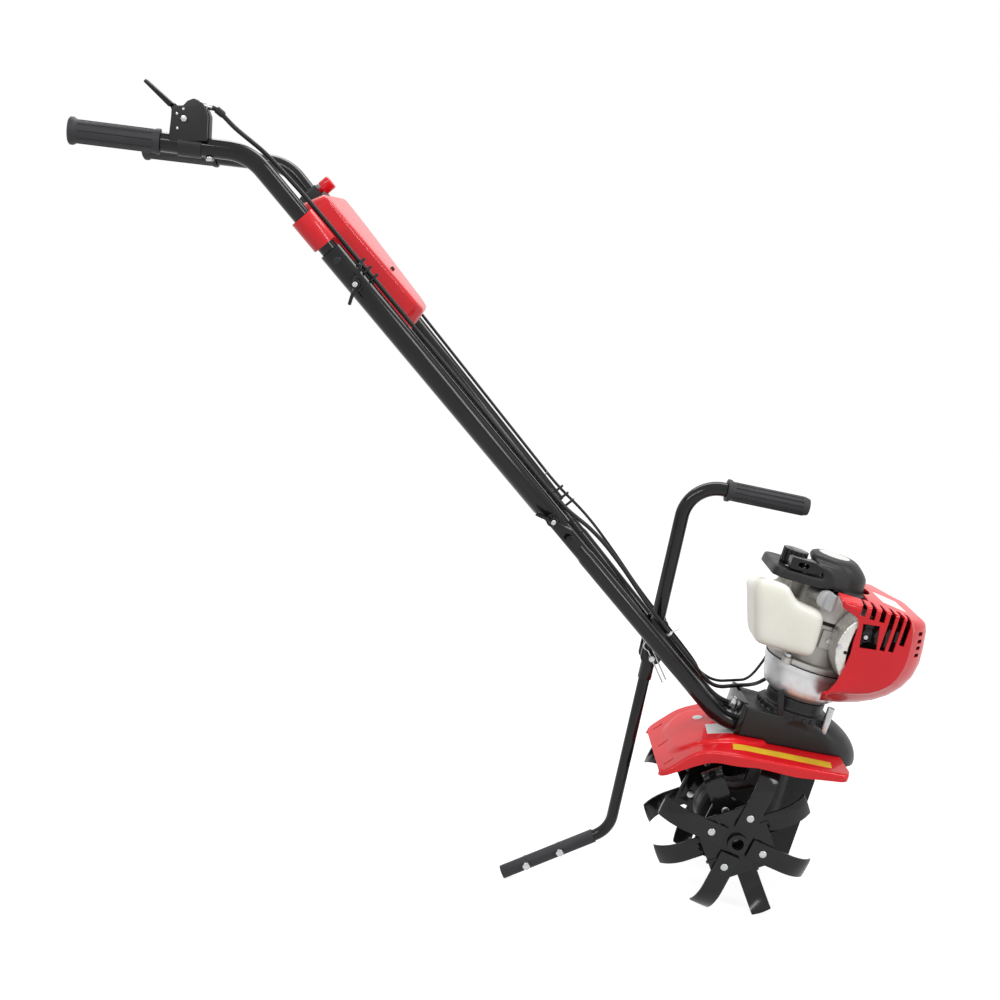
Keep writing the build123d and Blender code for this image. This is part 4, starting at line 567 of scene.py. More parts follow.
def sheeted(name, node, outline, finish, steps, lift=0.25, depth=0.6):
    """A thin blank sheet laid on top of a node between four corners, following its surface."""
    corners = [deck(past_top, u, y) for u, y in outline]
    shape = bmesh.new()
    uppers, lowers = [], []
    for step in range(steps[0] + 1):
        near = corners[0].lerp(corners[1], step / steps[0])
        far = corners[3].lerp(corners[2], step / steps[0])
        hits = [met(node, near.lerp(far, part / steps[1]), -upright) for part in range(steps[1] + 1)]
        uppers.append([shape.verts.new(place + facing * (lift * mm)) for place, facing in hits])
        lowers.append([shape.verts.new(place + facing * ((lift - depth) * mm)) for place, facing in hits])
    skin(shape, uppers, closed=False)
    skin(shape, lowers, closed=False)
    skin(shape, [rim(uppers), rim(lowers)])
    show(name, meshed(name, shape, outward=True), finish, "base")


def blank_disc(name, node, u, y, finish, radius, sink, sides=48):
    """A thin blank disc on top of a node, sunk into it a little where its surface curves."""
    middle, proud = 0.01, 0.3
    profile = ((middle, proud), (radius, proud), (radius, -sink), (middle, -sink))
    turned(name, stand(*on_top(node, u, y), along), profile, finish, "base", sides)


def block(name, seat, size, finish, body, soften=0.8):
    """A small moulded block on a seat, with softened edges, by its length, width and height."""
    shape = bmesh.new()
    bmesh.ops.create_cube(shape, size=1)
    bmesh.ops.scale(shape, vec=Vector(size) * mm, verts=shape.verts)
    bmesh.ops.translate(shape, vec=at(0, 0, size[2] / 2), verts=shape.verts)
    bmesh.ops.bevel(shape, geom=shape.edges[:], offset=soften * mm, segments=2, affect="EDGES", profile=0.5)
    bmesh.ops.transform(shape, matrix=seat, verts=shape.verts)
    show(name, meshed(name, shape), finish, body)


def drawn_to(place, way, along_way, round_way):
    """The matrix that scales a shape along a line and round it, from a place on the line."""
    scale = Matrix.Scale(round_way, 4) @ Matrix.Scale(along_way / round_way, 4, way.normalized())
    return Matrix.Translation(place) @ scale @ Matrix.Translation(-place)


# Pieces drawn a little slimmer or lower than their solids
trims = {
    "grip_right": drawn_to(bar_end(right), bar_corner(right) - bar_end(right), 0.925, 0.87),
    "grip_left": drawn_to(bar_end(left), bar_corner(left) - bar_end(left), 0.95, 0.87),
    "fuel_cap": drawn_to(deck(364, -27, -18), upright, 0.76, 1),
}
seam_width = 0.002
flat_angle = radians(0.4)


def dress(node):
    """Shows a CAD node as a copy with closed seams and softly rounded edges."""
    shape = bmesh.new()
    shape.from_mesh(frame["nodes"][node].data)
    bmesh.ops.remove_doubles(shape, verts=shape.verts, dist=seam_width * mm)
    bmesh.ops.dissolve_limit(shape, angle_limit=flat_angle, verts=shape.verts, edges=shape.edges)
    mesh = meshed(node, shape)
    if node in trims:
        mesh.transform(trims[node])
    if "custom_normal" in mesh.attributes:
        mesh.attributes.remove(mesh.attributes["custom_normal"])
    holder = placed("holder", mesh)
    soften_edges(holder, edge_rounding[node])
    stand_in(node, "dressed", settled(holder, f"{node}.dressed"))


def flowing(points):
    """Points along the smooth line that a route's points control."""
    curve = bpy.data.curves.new("route", "CURVE")
    curve.dimensions = "3D"
    curve.resolution_u = 10
    spline = curve.splines.new("NURBS")
    spline.points.add(len(points) - 1)
    for control, point in zip(spline.points, points):
        control.co = (*point, 1)
    spline.order_u = 3
    spline.use_endpoint_u = True
    mesh = settled(placed("route", curve), "route")
    line = [vertex.co.copy() for vertex in mesh.vertices]
    bpy.data.meshes.remove(mesh)
    return line


def tube(name, line, radius, sides=16):
    """A round tube along a line of points, closed at both ends."""
    shape = bmesh.new()
    normal = (line[1] - line[0]).orthogonal()
    rings = []
    for index, point in enumerate(line):
        heading = (line[min(index + 1, len(line) - 1)] - line[max(index - 1, 0)]).normalized()
        normal = (normal - heading * normal.dot(heading)).normalized()
        side = heading.cross(normal)
        circle = [(normal * ahead + side * aside) * (radius * mm) for ahead, aside in round_steps(sides)]
        rings.append([shape.verts.new(point + spoke) for spoke in circle])
    skin(shape, rings)
    shape.faces.new(rings[0][::-1])
    shape.faces.new(rings[-1])
    return meshed(name, shape)


# Cables: the points that control each route, laid close to the frame's own cables
cable_radius, wire_radius, rope_radius = 2.75, 2, 1.5
clip_s, cable_gap = 62, 0.4
cable_over, wire_over = 19, 18
stub_start, stub_end, stub_mouth = at(-380, -145, 1038.5), at(-366, -145, 1035.4), at(-362, -145, 1034)
tie_place = run_point(-196, -31, 19)
carburettor_w, carburettor_u, carburettor_y = 292, 103, 50
throttle_top = [
    stub_end, stub_mouth, at(-355, -144.5, 1027.5), at(-343, -142, 1014), run_point(622, -133, 9),
    run_point(597, -127, 14), run_point(562, -124, 16), bar_point(right, corner_s - 96, cable_over),
    bar_point(right, clip_s, cable_over),
]
wire_top = [bar_point(left, 541, wire_over), bar_point(left, clip_s, wire_over)]
throttle_low = [
    bar_point(right, clip_s - cable_gap, cable_over), bar_point(right, clip_s - 26, cable_over),
    run_point(-14, -64, 30), run_point(-72, -54, 29), run_point(-134, -42, 22), tie_place,
    run_point(-240, -22, 18), run_point(-270, -14, 17), deck(180, -92, -4), deck(166, -66, 2),
    deck(173.5, -36, 14), deck(172.5, -10, 38), deck(174, 8, 58), deck(200, 34, 68), deck(248, 61, 63),
    deck(276, 75, 58), deck(carburettor_w, 88, carburettor_y),
    deck(carburettor_w, carburettor_u, carburettor_y),
]
wire_low = [
    bar_point(left, clip_s - cable_gap, wire_over), bar_point(left, clip_s - 26, wire_over),
    run_point(-18, 67, 25), run_point(-80, 57, 23), run_point(-142, 49, 18), run_point(-204, 43, 17),
    run_point(-246, 36, 17), run_point(-274, 32, 16), deck(174, -88, 30), deck(166, -62, 31),
    deck(173, -36, 36), deck(174, -10, 56), deck(206, 8, 72), deck(262, 18, 64), deck(290, 28, 44),
]


def cables():
    """The throttle cable and the switch wire: on the handle, and on to the engine over the fold."""
    for name, route, radius in (("throttle_cable.handle", throttle_top, cable_radius),
                                ("switch_wire.handle", wire_top, wire_radius)):
        piece = show(name, tube(name, flowing(route), radius), "cable_jacket", "handle")
        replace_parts(piece, "handle_cables")
    for name, route, radius in (("throttle_cable.engine", throttle_low, cable_radius),
                                ("switch_wire.engine", wire_low, wire_radius)):
        piece = show(name, tube(name, flowing(route), radius), "cable_jacket")
        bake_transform(piece)
        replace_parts(piece, "engine_cables")


def pull_rope():
    """The starter rope: from inside its guide to the pull grip."""
    pull_w, pull_y, steps = 374, -48, 40
    guide = deck(pull_w, 19, pull_y)
    grip = deck(pull_w, 4, pull_y)
    line = [guide.lerp(grip, step / steps) for step in range(steps + 1)]
    piece = show("starter_rope.braid", tube("starter_rope.braid", line, rope_radius, 10), "rope")
    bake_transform(piece)
    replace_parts(piece, "starter_rope")


def rounded(points, radii, steps=8):
    """A flat line through points, with each corner between them rounded off."""
    corners = [Vector(point) for point in points]
    line = [corners[0]]
    for before, corner, after, radius in zip(corners, corners[1:], corners[2:], radii):
        back, ahead = before - corner, after - corner
        cut = min(radius / tan(back.angle(ahead) / 2), back.length / 2, ahead.length / 2)
        start, end = corner + back.normalized() * cut, corner + ahead.normalized() * cut
        for step in range(steps + 1):
            share = step / steps
            line.append(start.lerp(corner, share).lerp(corner.lerp(end, share), share))
    return line + [corners[-1]]


def spread(line, count):
    """Points at even steps along a line."""
    lengths = [(far - near).length for near, far in zip(line, line[1:])]
    points = []
    for step in range(count + 1):
        left_over = sum(lengths) * step / count
        for near, far, length in zip(line, line[1:], lengths):
            if left_over <= length or far is line[-1]:
                points.append(near.lerp(far, min(1, left_over / length) if length else 0))
                break
            left_over -= length
    return points


def level_at(line, u):
    """The height of a line at a place along it."""
    for near, far in zip(line, line[1:]):
        if near.x <= u <= far.x:
            return near.lerp(far, (u - near.x) / (far.x - near.x or 1)).y
    return line[-1].y if u > line[-1].x else line[0].y


def eased(value, start, end):
    """A share from 0 to 1 that rises smoothly between two values."""
    share = min(1, max(0, (value - start) / (end - start)))
    return share * share * (3 - 2 * share)


def prisms(outlines):
    """Straight prisms in one mesh, each given by the points of its foot and the way it goes."""
    shape = bmesh.new()
    for foot, way in outlines:
        lower = [shape.verts.new(point) for point in foot]
        upper = [shape.verts.new(point + way) for point in foot]
        shape.faces.new(lower)
        shape.faces.new(upper[::-1])
        skin(shape, [lower, upper])
    return meshed("prisms", shape, outward=True)


def pressed(name, rows, thickness, cutters, inside):
    """A sheet through rows of points, thickened towards the inside and cut by cutters."""
    shape = bmesh.new()
    skin(shape, [[shape.verts.new(point) for point in line] for line in rows], closed=False)
    shape.normal_update()
    outward = sum(face.normal.dot(face.calc_center_median() - inside) for face in shape.faces)
    if outward < 0:
        bmesh.ops.reverse_faces(shape, faces=shape.faces)
    holder = placed("holder", meshed(name, shape))
    wall = holder.modifiers.new("wall", "SOLIDIFY")
    wall.thickness = thickness * mm
    wall.offset = -1
    tools = [placed("cutter", cutter) for cutter in cutters]
    for tool in tools:
        cut = holder.modifiers.new("cut", "BOOLEAN")
        cut.operation = "DIFFERENCE"
        cut.solver = "EXACT"
        cut.object = tool
    made = settled(holder, name)
    for tool in tools:
        bpy.data.objects.remove(tool)
    return made


def disc(w, u, y, radius, height, sides=64):
    """The foot and the way of a round prism that stands along the drive shaft."""
    foot = [deck(w, u + radius * ahead, y + radius * aside) for ahead, aside in round_steps(sides)]
    return foot, upright * (height * mm)


def slab(w, u, y, size):
    """The foot and the way of a square prism, by its middle and its size along, across and up."""
    long, wide, high = size
    corners = ((-1, -1), (1, -1), (1, 1), (-1, 1))
    foot = [deck(w - high / 2, u + a * long / 2, y + b * wide / 2) for a, b in corners]
    return foot, upright * (high * mm)


# Fender, as side views along u and w and a plan along u and y
sheet_wall = 2.5
fender_rear, fender_front, fender_corner, fender_shoulder = -122, 114, 12, 4.5
fender_line = rounded(((fender_rear, 56), (-84, 101), (-36, 118.5), (fender_front, 132)), (70, 140))
fender_plan = rounded(((fender_rear, 84), (-72, 84), (-28, 108), (fender_front, 108)), (60, 70))
fender_foot = rounded(((fender_rear - 2, 50), (-58, 96), (-10, 109), (45, 110.5), (fender_front + 2, 122.5)),
                      (60, 60, 100))
fender_steps, fold_steps, foot_steps, crown_steps = 118, 6, 4, 72
field_middle, field_half, field_corner, field_rise, field_ramp = -46, (60, 58), 26, 4, 7


def field_lift(u, y):
    """How far the raised field lifts the fender at a place."""
    past_u = abs(u - field_middle) - field_half[0] + field_corner
    past_y = abs(y) - field_half[1] + field_corner
    outside = hypot(max(past_u, 0), max(past_y, 0)) + min(max(past_u, past_y), 0) - field_corner
    return field_rise * eased(-outside, -field_ramp / 2, field_ramp / 2)


def fender_row(u):
    """One cross section of the fender, from its near foot over the top to its far foot."""
    top, foot, half = level_at(fender_line, u), level_at(fender_foot, u), level_at(fender_plan, u)
    for end in (fender_rear, fender_front):
        inset = fender_corner - abs(u - end)
        if inset > 0:
            half -= fender_corner - sqrt(fender_corner ** 2 - inset ** 2)
    bend = min(fender_shoulder, (top - foot) / 2)
    side = [(half, foot + (top - bend - foot) * step / foot_steps) for step in range(foot_steps)]
    for step in range(fold_steps + 1):
        turn = pi / 2 * step / fold_steps
        side.append((half - bend + bend * cos(turn), top - bend + bend * sin(turn)))
    flat = half - bend
    crown = [(flat * (1 - 2 * step / crown_steps), top) for step in range(1, crown_steps)]
    profile = side + crown + [(-y, w) for y, w in reversed(side)]
    return [deck(w + (field_lift(u, y) if w == top else 0), u, -y) for y, w in profile]


def pressed_fender():
    """The fender as one smooth pressed sheet, with three slots in its rear and a hole for the drive."""
    length = fender_front - fender_rear
    rows = [fender_row(fender_rear + length * step / fender_steps) for step in range(fender_steps + 1)]
    slots = prisms([slab(70, -111, y, (10, 2.4, 60)) for y in (-62, 0, 62)])
    drive_hole = prisms([disc(100, drive_u, 0, 20, 60)])
    mesh = pressed("fender.sheet", rows, sheet_wall, [slots, drive_hole], deck(0, 0))
    learn("fender", mesh)
    stand_in("fender", "sheet", mesh)


# Engine cover, as side views along u and up from the crankcase's top
case_top = 345
cover_side = ((30, 6), (62, 6.5), (96, 6.5), (118, 5.5), (128, 1), (134, -9), (138, -26), (140, -45),
              (139.5, -60), (136, -76), (129, -89), (118, -99), (105, -106.5), (90, -111.5), (70, -116),
              (47, -123))
cover_nose = ((30, 12), (64, 11), (102, 8), (138, 3), (155, 0.5), (163, -3), (167.5, -12), (172, -38),
              (174, -58), (171, -78), (162, -96), (148, -112), (131, -124), (112, -133), (90, -140),
              (60, -146))
cover_rear = ((30, 5), (34, -4), (56, -11), (62, -20), (62.5, -42), (64, -60), (63, -79), (59, -102),
              (49, -123))
cover_near, cover_far, cover_flat, cover_edge, cover_swell = -88, 72, 36, 4.5, 1.5
cover_middle = Vector((96, -52))
nose_fullness = 1.7
line_steps, face_steps, edge_steps, nose_steps, flat_steps = 90, 14, 6, 14, 12
louvre_half, louvre_point = 3.6, 5
louvres = ((62, -1, 13), (75, -1.5, 15), (88, -2, 14), (101, -20, 50), (112.5, -19, 49), (123.5, -14, 36))
window = ((66.5, -17), (88, -14), (94, -46), (72, -49))
vent_half, vents = (4, 2.5), ((150, -14), (152, -24), (153, -33), (154, -43))


def cover_rows():
    """Cross sections of the cover: its near side, its rounded nose and its far side."""
    sides = spread(rounded(cover_side, [9] * 14), line_steps)
    noses = spread(rounded(cover_nose, [14] * 4 + [6] + [14] * 9), line_steps)
    rears = spread(rounded(cover_rear, [8] * 7), line_steps)

    def section(points, y):
        return [deck(case_top + point.y, point.x, y) for point in points]

    def inset(distance):
        return [point + (cover_middle - point).normalized() * distance for point in sides]

    def between(starts, ends, share):
        return [start.lerp(end, share) for start, end in zip(starts, ends)]

    def half(edge, outward):
        rows = []
        for step in range(face_steps + 1):
            share = step / face_steps
            swell = cover_swell * sin(pi * share) * outward
            rows.append(section(between(rears, inset(cover_edge), share), edge + swell))
        for step in range(1, edge_steps + 1):
            turn = pi / 2 * step / edge_steps
            level = edge - outward * cover_edge * (1 - cos(turn))
            rows.append(section(inset(cover_edge * (1 - sin(turn))), level))
        start, end = edge - outward * cover_edge, outward * cover_flat
        for step in range(1, nose_steps):
            share = step / nose_steps
            ease = 1 - (1 - share) ** nose_fullness
            rows.append(section(between(sides, noses, ease), start + (end - start) * share))
        return rows

    levels = [-cover_flat + 2 * cover_flat * step / flat_steps for step in range(flat_steps + 1)]
    front = [section(noses, level) for level in levels]
    return half(cover_near, -1) + front + half(cover_far, 1)[::-1]


def shell_cover():
    """The engine cover as one smooth shell with its louvres, window, vents and openings."""
    def hole(points, y, depth):
        return [deck(case_top + rise, u, y) for u, rise in points], across * (depth * mm)

    near_cut, near_depth = cover_near - 12, 36
    vent_cut, vent_depth = -84, 46
    holes = []
    for u, rise, length in louvres:
        low, high, back, front = rise - length / 2, rise + length / 2, u - louvre_half, u + louvre_half
        slot = ((back, low), (front, low), (front, high), (u, high + louvre_point), (back, high - 1))
        holes.append(hole(slot, near_cut, near_depth))
    holes.append(hole(window, near_cut, near_depth))
    for u, rise in vents:
        low, high, back, front = rise - vent_half[1], rise + vent_half[1], u - vent_half[0], u + vent_half[0]
        holes.append(hole(((back, low), (front, low), (front, high), (back, high)), vent_cut, vent_depth))
    case_room = [disc(case_top - 17, drive_u, 0, 46, 90), disc(90, drive_u, 0, 61, 167)]
    starter_room = [slab(case_top + 20, 50, 0, (44, 130, 80))]
    cleaner_room = [slab(292, 98, 72, (62, 30, 60))]
    cutters = [prisms(outlines) for outlines in (holes, case_room, starter_room, cleaner_room)]
    mesh = pressed("engine_cover.shell", cover_rows(), sheet_wall, cutters, deck(290, 96))
    learn("engine_cover", mesh)
    stand_in("engine_cover", "shell", mesh, sharp=40)


# Levels of the shapings of the moulded pieces, up the drive shaft, and how far they go
dome_low, dome_high, dome_shift = 366, 389, 13
slope_low, slope_high, slope_near, slope_far, slope_fall = 315, 345, -72, -30, 11
collar_low, collar_high, flare_low, flare_reach, collar_half = 151, 170, 154, 26, 48.3
hood_half, hood_draw = 45.8, 1.8 / 14


def dome_lean(place):
    """How the starter's dome leans to the rear as it rises."""
    return along * (-dome_shift * mm * eased(place.dot(upright) / mm, dome_low, dome_high))


def tank_slope(place):
    """How the tank's top falls towards its far side."""
    rise = eased(place.dot(upright) / mm, slope_low, slope_high)
    return upright * (-slope_fall * mm * rise * eased(place.y / mm, slope_near, slope_far))


def collar_flare(place):
    """How the collar of the upper housing flares out of the hood's sides instead of standing past them."""
    level = place.dot(upright) / mm
    side = hood_half - hood_draw * (level - collar_low)
    spare = abs(place.y) / mm - side - (collar_half - side) * eased(level, flare_low, collar_high)
    on_collar = collar_low < level < collar_high and abs(place.dot(along) / mm - drive_u) <= flare_reach
    if spare < 0 or not on_collar:
        return Vector()
    return across * (-spare * mm if place.y > 0 else spare * mm)


# Moulded pieces that are round all over: the size of their mesh, how often it is smoothed, and its shaping
moulded_round = {
    "starter_cover": (1.2, 40, dome_lean),
    "fuel_tank": (1.6, 160, tank_slope),
    "upper_housing": (1.5, 8, collar_flare),
}
smooth_share = 0.6
soft_angle = 80


def remould(node):
    """Shows a CAD node as a piece whose edges are as round as a moulding's."""
    size, rounds, shaping = moulded_round[node]
    holder = placed("holder", frame["nodes"][node].data.copy())
    remesh = holder.modifiers.new("remesh", "REMESH")
    remesh.mode = "VOXEL"
    remesh.voxel_size = size * mm
    smooth = holder.modifiers.new("smooth", "SMOOTH")
    smooth.factor = smooth_share
    smooth.iterations = rounds
    mesh = settled(holder, f"{node}.moulding")
    for vertex in mesh.vertices:
        vertex.co += shaping(vertex.co - axle)
    stand_in(node, "moulding", mesh, soft_angle)
    learn(node, mesh)


def fender_sheets():
    """The blank strip along the fender's near edge, and the blank plate and disc on its raised field."""
    strip = ((-37, -64), (94, -72), (91, -92), (-39, -83))
    sheeted("fender_strip", "fender", strip, "strip_yellow", (40, 6))
    plate_outline = ((-64, -2), (-24, -2), (-24, -36), (-66, -36))
    sheeted("fender_plate", "fender", plate_outline, "sheet_grey", (16, 12))
    blank_disc("fender_oval", "fender", -70, 26, "sheet_white", radius=7, sink=0.4)


def engine_details():
    """A blank sheet on the engine cover, a pale grey disc on the starter's dome, the breather box, screws,
    bolts, a seal and a near-black disc of painted shade for the shield's drain hole.
    """
    outline = ((98, -44), (132, -44), (132, 6), (98, 6))
    sheeted("cover_sheet", "engine_cover", outline, "sheet_white", (20, 20))
    breather = stand(deck(318, -4, 16), upright, along)
    block("breather_box", breather, (22, 34, 32), "grey_casting", "base", soften=2.5)
    # A pale grey disc on the top of the dark starter dome.
    blank_disc("starter_top_disc", "starter_cover", drive_u - 14, 0, "sheet_grey",
               radius=21, sink=0.5, sides=64)
    outlet = on_flank("muffler", 78, 310)
    ring_profile = ((5.4, -0.5), (5.4, 0.9), (6.1, 1.5), (7.0, 0.9), (7.0, -0.5))
    turned("muffler_ring", stand(*outlet, upright), ring_profile, "black_plastic", "base")
    fastened("muffler_screw", [outlet], "steel", "base", radius=3.4, height=2.2, sides=6, crown=0.9)
    # The drain hole is a flat near-black disc: painted shade where the hole would be.
    drain = on_flank("heat_shield", 58, 284)
    fastened("shield_hole_shade", [drain], "shadow_gap", "base", radius=2.4, height=0.7, sides=20, crown=1,
             soften=0)
    bolt = on_flank("heat_shield", 48, 290)
    fastened("shield_bolt", [bolt], "zinc", "base", radius=3.6, height=2.6, sides=6, crown=0.92)
    cap = Vector(joints["oil_cap_turn"]["pos_m"])
    cap_axis = Vector(joints["oil_cap_turn"]["axis"])
    seal_level, seal_radius, seal_half = 25.4, 10.6, 1.7
    seal = [(seal_radius + seal_half * out, seal_half * up) for out, up in round_steps(12)]
    seat = stand(cap + cap_axis * (seal_level * mm), cap_axis, upright)
    turned("oil_seal", seat, seal, "shadow_gap", "oil_cap")


def case_details():
    """The seams of the engine's castings, drawn as near-black rings of painted shade, and the bolted boss on
    the crankcase's near side.
    """
    # Both rings are in the near-black shadow_gap finish: painted shade in the gaps where the castings meet.
    for name, w, radius, high in (("clutch_seam", 238.2, 59.3, 1.2), ("crankcase_gap_shade", 302, 44.5, 5)):
        profile = ((radius - 1, 0), (radius, 0), (radius, high), (radius - 1, high))
        seat = stand(deck(w, drive_u), upright, along)
        turned(name, seat, profile, "shadow_gap", "base", sides=96)
    boss_w, boss_u, boss_y, boss_high = 284, 45, -41, 6
    boss = stand(deck(boss_w, boss_u, boss_y), -across, upright)
    block("crankcase_boss", boss, (26, 22, boss_high), "grey_casting", "base", soften=1.5)
    bolt = (deck(boss_w, boss_u, boss_y - boss_high), -across)
    fastened("crankcase_bolt", [bolt], "zinc", "base", radius=4.0, height=3.0, sides=6, crown=0.92)


def housing_details():
    """The collar's castellations and the post on the near side of the black housing."""
    collar = stand(deck(168.5, drive_u), upright, along)
    ringed("collar_teeth", collar, "black_plastic", "base", Count=26, Radius=48, Long=3, Wide=5, High=6)
    foot, top = deck(163, 19, -40), deck(198, 9, -42)
    post = stand(foot, (top - foot).normalized(), along)
    block("housing_post", post, (8, 6, (top - foot).length / mm), "black_plastic", "base")


def tine_details():
    """Pressed ribs beside the blades on each outer plate."""
    blade_turn, rib_turn = radians(65), radians(23.3)
    first = Vector((cos(blade_turn - rib_turn), 0, sin(blade_turn - rib_turn)))
    plate_place = 36
    for flank, side in flanks:
        start = axle + at(0, side * past_flank, plate_place)
        place = met(f"tine_hub_{flank}", start, across * -side)[0]
        seat = stand(Vector((axle.x, place.y, axle.z)), across * side, first)
        ringed(f"plate_ribs_{flank}", seat, "tine_black", "tines", soften=1.0,
               Count=4, Radius=38, Long=24, Wide=4.4, High=3.0, Twist=rib_turn * side)


# Cable combs: their bar, place along it, height over it and inset, their width and the rows of their pegs
combs = (("right", right, 411, 13.6, 0, 7, (-5, 5)), ("left", left, 13, 8, 19, 15, (0.5, 6.5)))
peg_count, peg_step, peg_radius, peg_top = 3, 12, 1.5, 26.1


def cable_combs():
    """Two combs that hold the cables on the bars, each a base with two rows of pegs."""
    for flank, side, s, lift, inset, wide, offsets in combs:
        up_bar, over = bar_axes(side)[1:]
        seat = stand(bar_point(side, s, lift) - across * (side * inset * mm), over, up_bar)
        base = seat @ Matrix.Translation((peg_step * mm, 0, 0))
        block(f"cable_comb_{flank}", base, (peg_count * peg_step, wide, 2.4), "black_plastic", "handle")
        for edge, offset in zip(("near", "far"), offsets):
            name = f"comb_pegs_{flank}_{edge}"
            pegs = grown(name, row_maker, "black_plastic", 0.3, Count=peg_count, Step=peg_step,
                         Radius=peg_radius, Height=peg_top - lift)
            pegs.transform(seat @ Matrix.Translation((0, offset * mm, 0)))
            show(name, pegs, "black_plastic", "handle")


def handle_details():
    """Bright bolt ends, plugs, cable combs, the console's screw, a nut, and the cable's stub and ferrule."""
    ends = []
    for side in (right, left):
        for s in (35, 418):
            start = bar_point(side, s) + across * (side * past_bolts * mm)
            ends.append((met("handle_bolts", start, across * -side)[0], across * side))
    fastened("bolt_ends", ends, "zinc", "handle", radius=3.4, height=1.2, crown=0.75)
    plugs = [(bar_point(side, 453) + across * (side * 13.6 * mm), across * side) for side in (right, left)]
    fastened("sleeve_plugs", plugs, "black_plastic", "handle", radius=5.2, height=1.6, crown=0.8)
    cable_combs()
    screw = on_run("console", 405, -30)
    fastened("console_screw", [screw], "black_plastic", "handle",
             radius=3.2, height=3.4, sides=16, crown=0.8)
    down = Vector((0, 0, -1))
    nut = met("upper_tube_right", at(-372, lever_pivot.y / mm, 900), -down)[0]
    fastened("bracket_nut", [(nut, down)], "zinc", "handle", radius=5, height=4.5, sides=6, crown=0.92)
    stub = stand(stub_start, (stub_end - stub_start).normalized(), across)
    stub_profile = ((1.0, -4), (4.2, -4), (4.2, 8), (3.2, 9), (3.2, 14), (1.0, 14))
    turned("cable_stub", stub, stub_profile, "zinc", "handle", sides=24)
    ferrule = stand(stub_mouth, (at(-355, -144.5, 1028) - stub_mouth).normalized(), across)
    ferrule_profile = ((2.0, 0.0), (4.2, 0.5), (4.2, 9), (3.3, 11), (2.0, 11))
    turned("cable_ferrule", ferrule, ferrule_profile, "black_plastic", "handle", sides=24)


def plate(name, outline, near, far, finish, body, soften):
    """A plate that stands along the machine: its outline along X and Z, its two faces by Y."""
    mesh = prisms([([at(x, near, z) for x, z in outline], across * ((far - near) * mm))])
    holder = placed("holder", mesh)
    soften_edges(holder, soften, segments=3, angle=30)
    return show(name, settled(holder, name), finish, body)


def throttle():
    """The throttle's two cheeks and band on the tube, its screws and its thin lever."""
    cheek = rounded(((-416, 998), (-411.5, 1024), (-410, 1037), (-397, 1037), (-392, 1042), (-384, 1045),
                     (-374, 1039), (-369.5, 1026), (-372, 998)), (4, 6, 3, 4, 6, 8, 8))
    cheek_y = -158
    for name, near, far in (("throttle_cheek", cheek_y, -152.8), ("throttle_body", -146.8, -131)):
        piece = plate(name, cheek, near, far, "black_plastic", "handle", soften=0.8)
        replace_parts(piece, "throttle_bracket")
    way = (bar_end(right) - bar_corner(right)).normalized()
    band_length, band_inner, band_outer = 26, 11.3, 13.4
    seat = stand(at(-394, -144.4, 993.8) - way * (band_length / 2 * mm), way, across)
    profile = ((band_inner, 0), (band_outer, 0), (band_outer, band_length), (band_inner, band_length))
    band = turned("throttle_band", seat, profile, "black_plastic", "handle")
    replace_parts(band, "throttle_bracket")
    hub_corners = ((-391, 1012), (-401, 1012), (-414, 1037), (-408, 1040.5), (-390, 1024), (-391, 1012))
    hub = rounded(hub_corners, (4, 4, 2, 2))[:-1]
    blade = ((-413.8, 1035.6), (-409.4, 1040.1), (-438.5, 1066.5), (-441.5, 1063.5))
    for name, outline, near, far in (("lever_hub", hub, -151.8, -147.8),
                                     ("lever_blade", blade, -156, -143.6)):
        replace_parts(plate(name, outline, near, far, "black_tube", "lever", soften=1.2), "throttle_lever")
    screws = [(at(-396.3, cheek_y, 1022.5), -across)]
    fastened("throttle_screws", screws, "zinc", "handle", radius=4.2, height=2.8, sides=6, crown=0.9)
    pins = [(at(x, cheek_y, z), -across) for x, z in ((-404, 1028), (-396.5, 1033), (-404.5, 1012))]
    fastened("throttle_pins", pins, "steel", "handle", radius=1.8, height=1.6, sides=16, crown=0.8)


def cable_tie():
    """A pale tie round the throttle cable where it leaves the tubes, with its cut tail."""
    band = ((2.6, -1.5), (3.8, -1.5), (3.8, 1.5), (2.6, 1.5))
    seat = stand(tie_place, run, over_run)
    turned("cable_tie", seat, band, "tie_white", "base", sides=24)
    tail = stand(tie_place + over_run * (3.2 * mm), (over_run - run * 0.3).normalized(), across)
    block("tie_tail", tail, (2.4, 1.2, 11), "tie_white", "base", soften=0.3)


# Studio, in metres and watts: each lamp's place, its length and width, and its power
lamps = (
    ("key", (-1.2, -2.0, 2.3), (2.2, 0.22), 30),
    ("top", (0.3, 0.9, 2.3), (2.6, 0.8), 38),
    ("fill", (2.2, -1.4, 1.85), (0.5, 2.0), 36),
)
lamp_target = Vector((0, 0, 0.5))
floor_half, floor_grey, floor_glow, sky_light, sky_white = 12, 0.32, 0.84, 0.5, 1.0


def seen_rays(tree, unseen, seen):
    """A strength that differs for what the camera, a reflection or glass sees."""
    path = tree.nodes.new("ShaderNodeLightPath")
    any_of = path.outputs["Is Camera Ray"]
    for kind in ("Is Glossy Ray", "Is Transmission Ray"):
        either = tree.nodes.new("ShaderNodeMath")
        either.operation = "MAXIMUM"
        tree.links.new(any_of, either.inputs[0])
        tree.links.new(path.outputs[kind], either.inputs[1])
        any_of = either.outputs[0]
    strength = tree.nodes.new("ShaderNodeMapRange")
    fill(strength, To_Min=unseen, To_Max=seen)
    tree.links.new(any_of, strength.inputs["Value"])
    return strength.outputs["Result"]


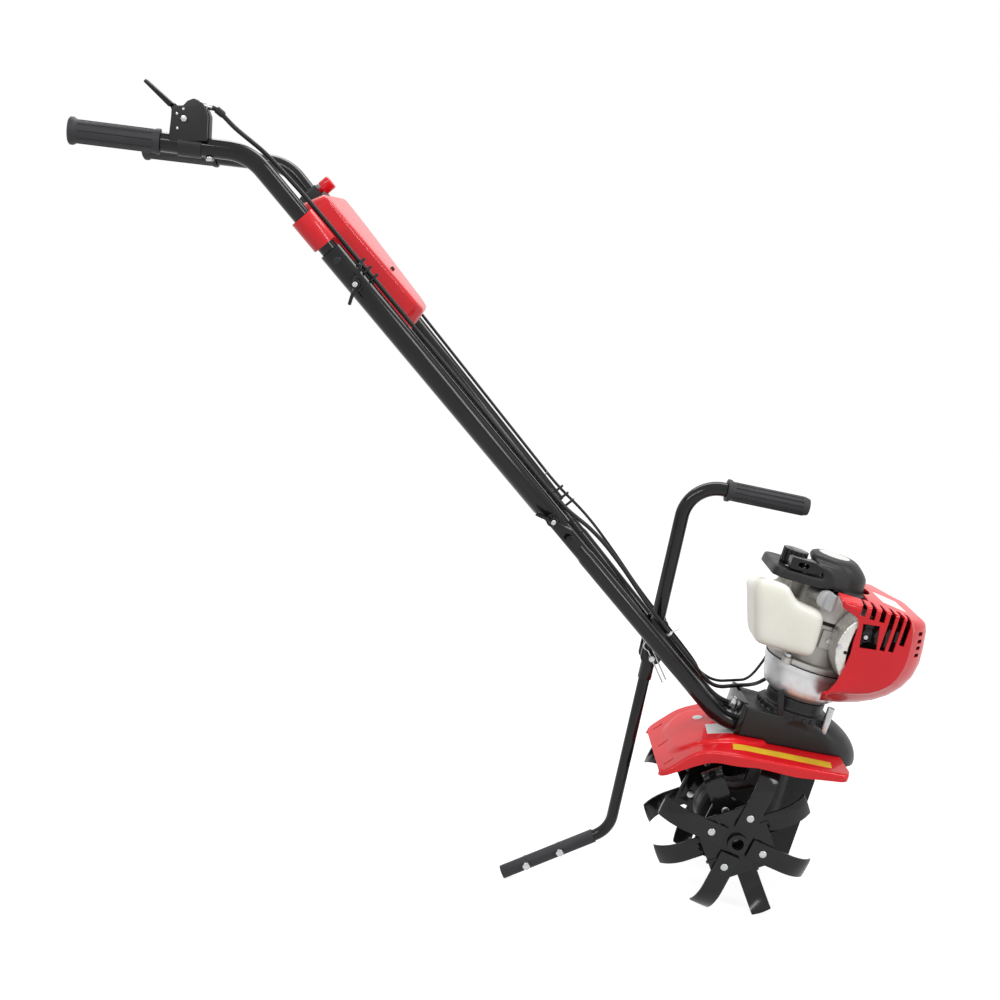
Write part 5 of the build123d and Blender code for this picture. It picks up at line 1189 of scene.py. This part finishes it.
def paper():
    """The floor's material: grey enough to keep a shadow, and white to what sees it."""
    material = bpy.data.materials.new("paper")
    material.use_nodes = True
    nodes, links = material.node_tree.nodes, material.node_tree.links
    nodes.clear()
    matt = nodes.new("ShaderNodeBsdfDiffuse")
    fill(matt, Color=(floor_grey, floor_grey, floor_grey, 1))
    glow = nodes.new("ShaderNodeEmission")
    both = nodes.new("ShaderNodeAddShader")
    output = nodes.new("ShaderNodeOutputMaterial")
    links.new(seen_rays(material.node_tree, 0.0, floor_glow), glow.inputs["Strength"])
    links.new(matt.outputs["BSDF"], both.inputs[0])
    links.new(glow.outputs["Emission"], both.inputs[1])
    links.new(both.outputs["Shader"], output.inputs["Surface"])
    return material


def lamp(name, place, size, power):
    """A soft lamp that faces the middle of the machine."""
    light = bpy.data.lights.new(name, "AREA")
    light.shape = "RECTANGLE"
    light.size, light.size_y = size
    light.energy = power
    holder = placed(name, light)
    holder.location = place
    holder.rotation_euler = (lamp_target - Vector(place)).to_track_quat("-Z", "Y").to_euler()
    holder.visible_camera = False


def studio():
    """A white floor that keeps a soft shadow, white surroundings and three soft lamps."""
    shape = bmesh.new()
    bmesh.ops.create_grid(shape, x_segments=1, y_segments=1, size=floor_half)
    floor = placed("floor", meshed("floor", shape))
    floor.data.materials.append(paper())
    world = bpy.data.worlds.new("white")
    bpy.context.scene.world = world
    world.use_nodes = True
    sky = world.node_tree.nodes["Background"]
    fill(sky, Color=(1, 1, 1, 1))
    world.node_tree.links.new(seen_rays(world.node_tree, sky_light, sky_white), sky.inputs["Strength"])
    for values in lamps:
        lamp(*values)


def camera():
    """The viewpoint: level with the handle, about 1.7 m to the operator's right, a little tilted down."""
    view = placed("camera", bpy.data.cameras.new("camera"))
    view.location = (-0.0373, -1.684, 0.897)
    view.rotation_euler = (radians(78.25), 0, 0)
    view.data.lens = 46.5
    view.data.sensor_width = 36
    bpy.context.scene.camera = view


bpy.context.scene.view_settings.view_transform = "Standard"
camera()
studio()
cables()
pull_rope()
pressed_fender()
shell_cover()
for node in moulded_round:
    remould(node)
fender_sheets()
engine_details()
case_details()
housing_details()
tine_details()
handle_details()
throttle()
cable_tie()
for node in edge_rounding:
    dress(node)
for node, holder in frame["nodes"].items():
    if not holder.hide_render:
        holder.data.materials.clear()
        holder.data.materials.append(finish_of(node))
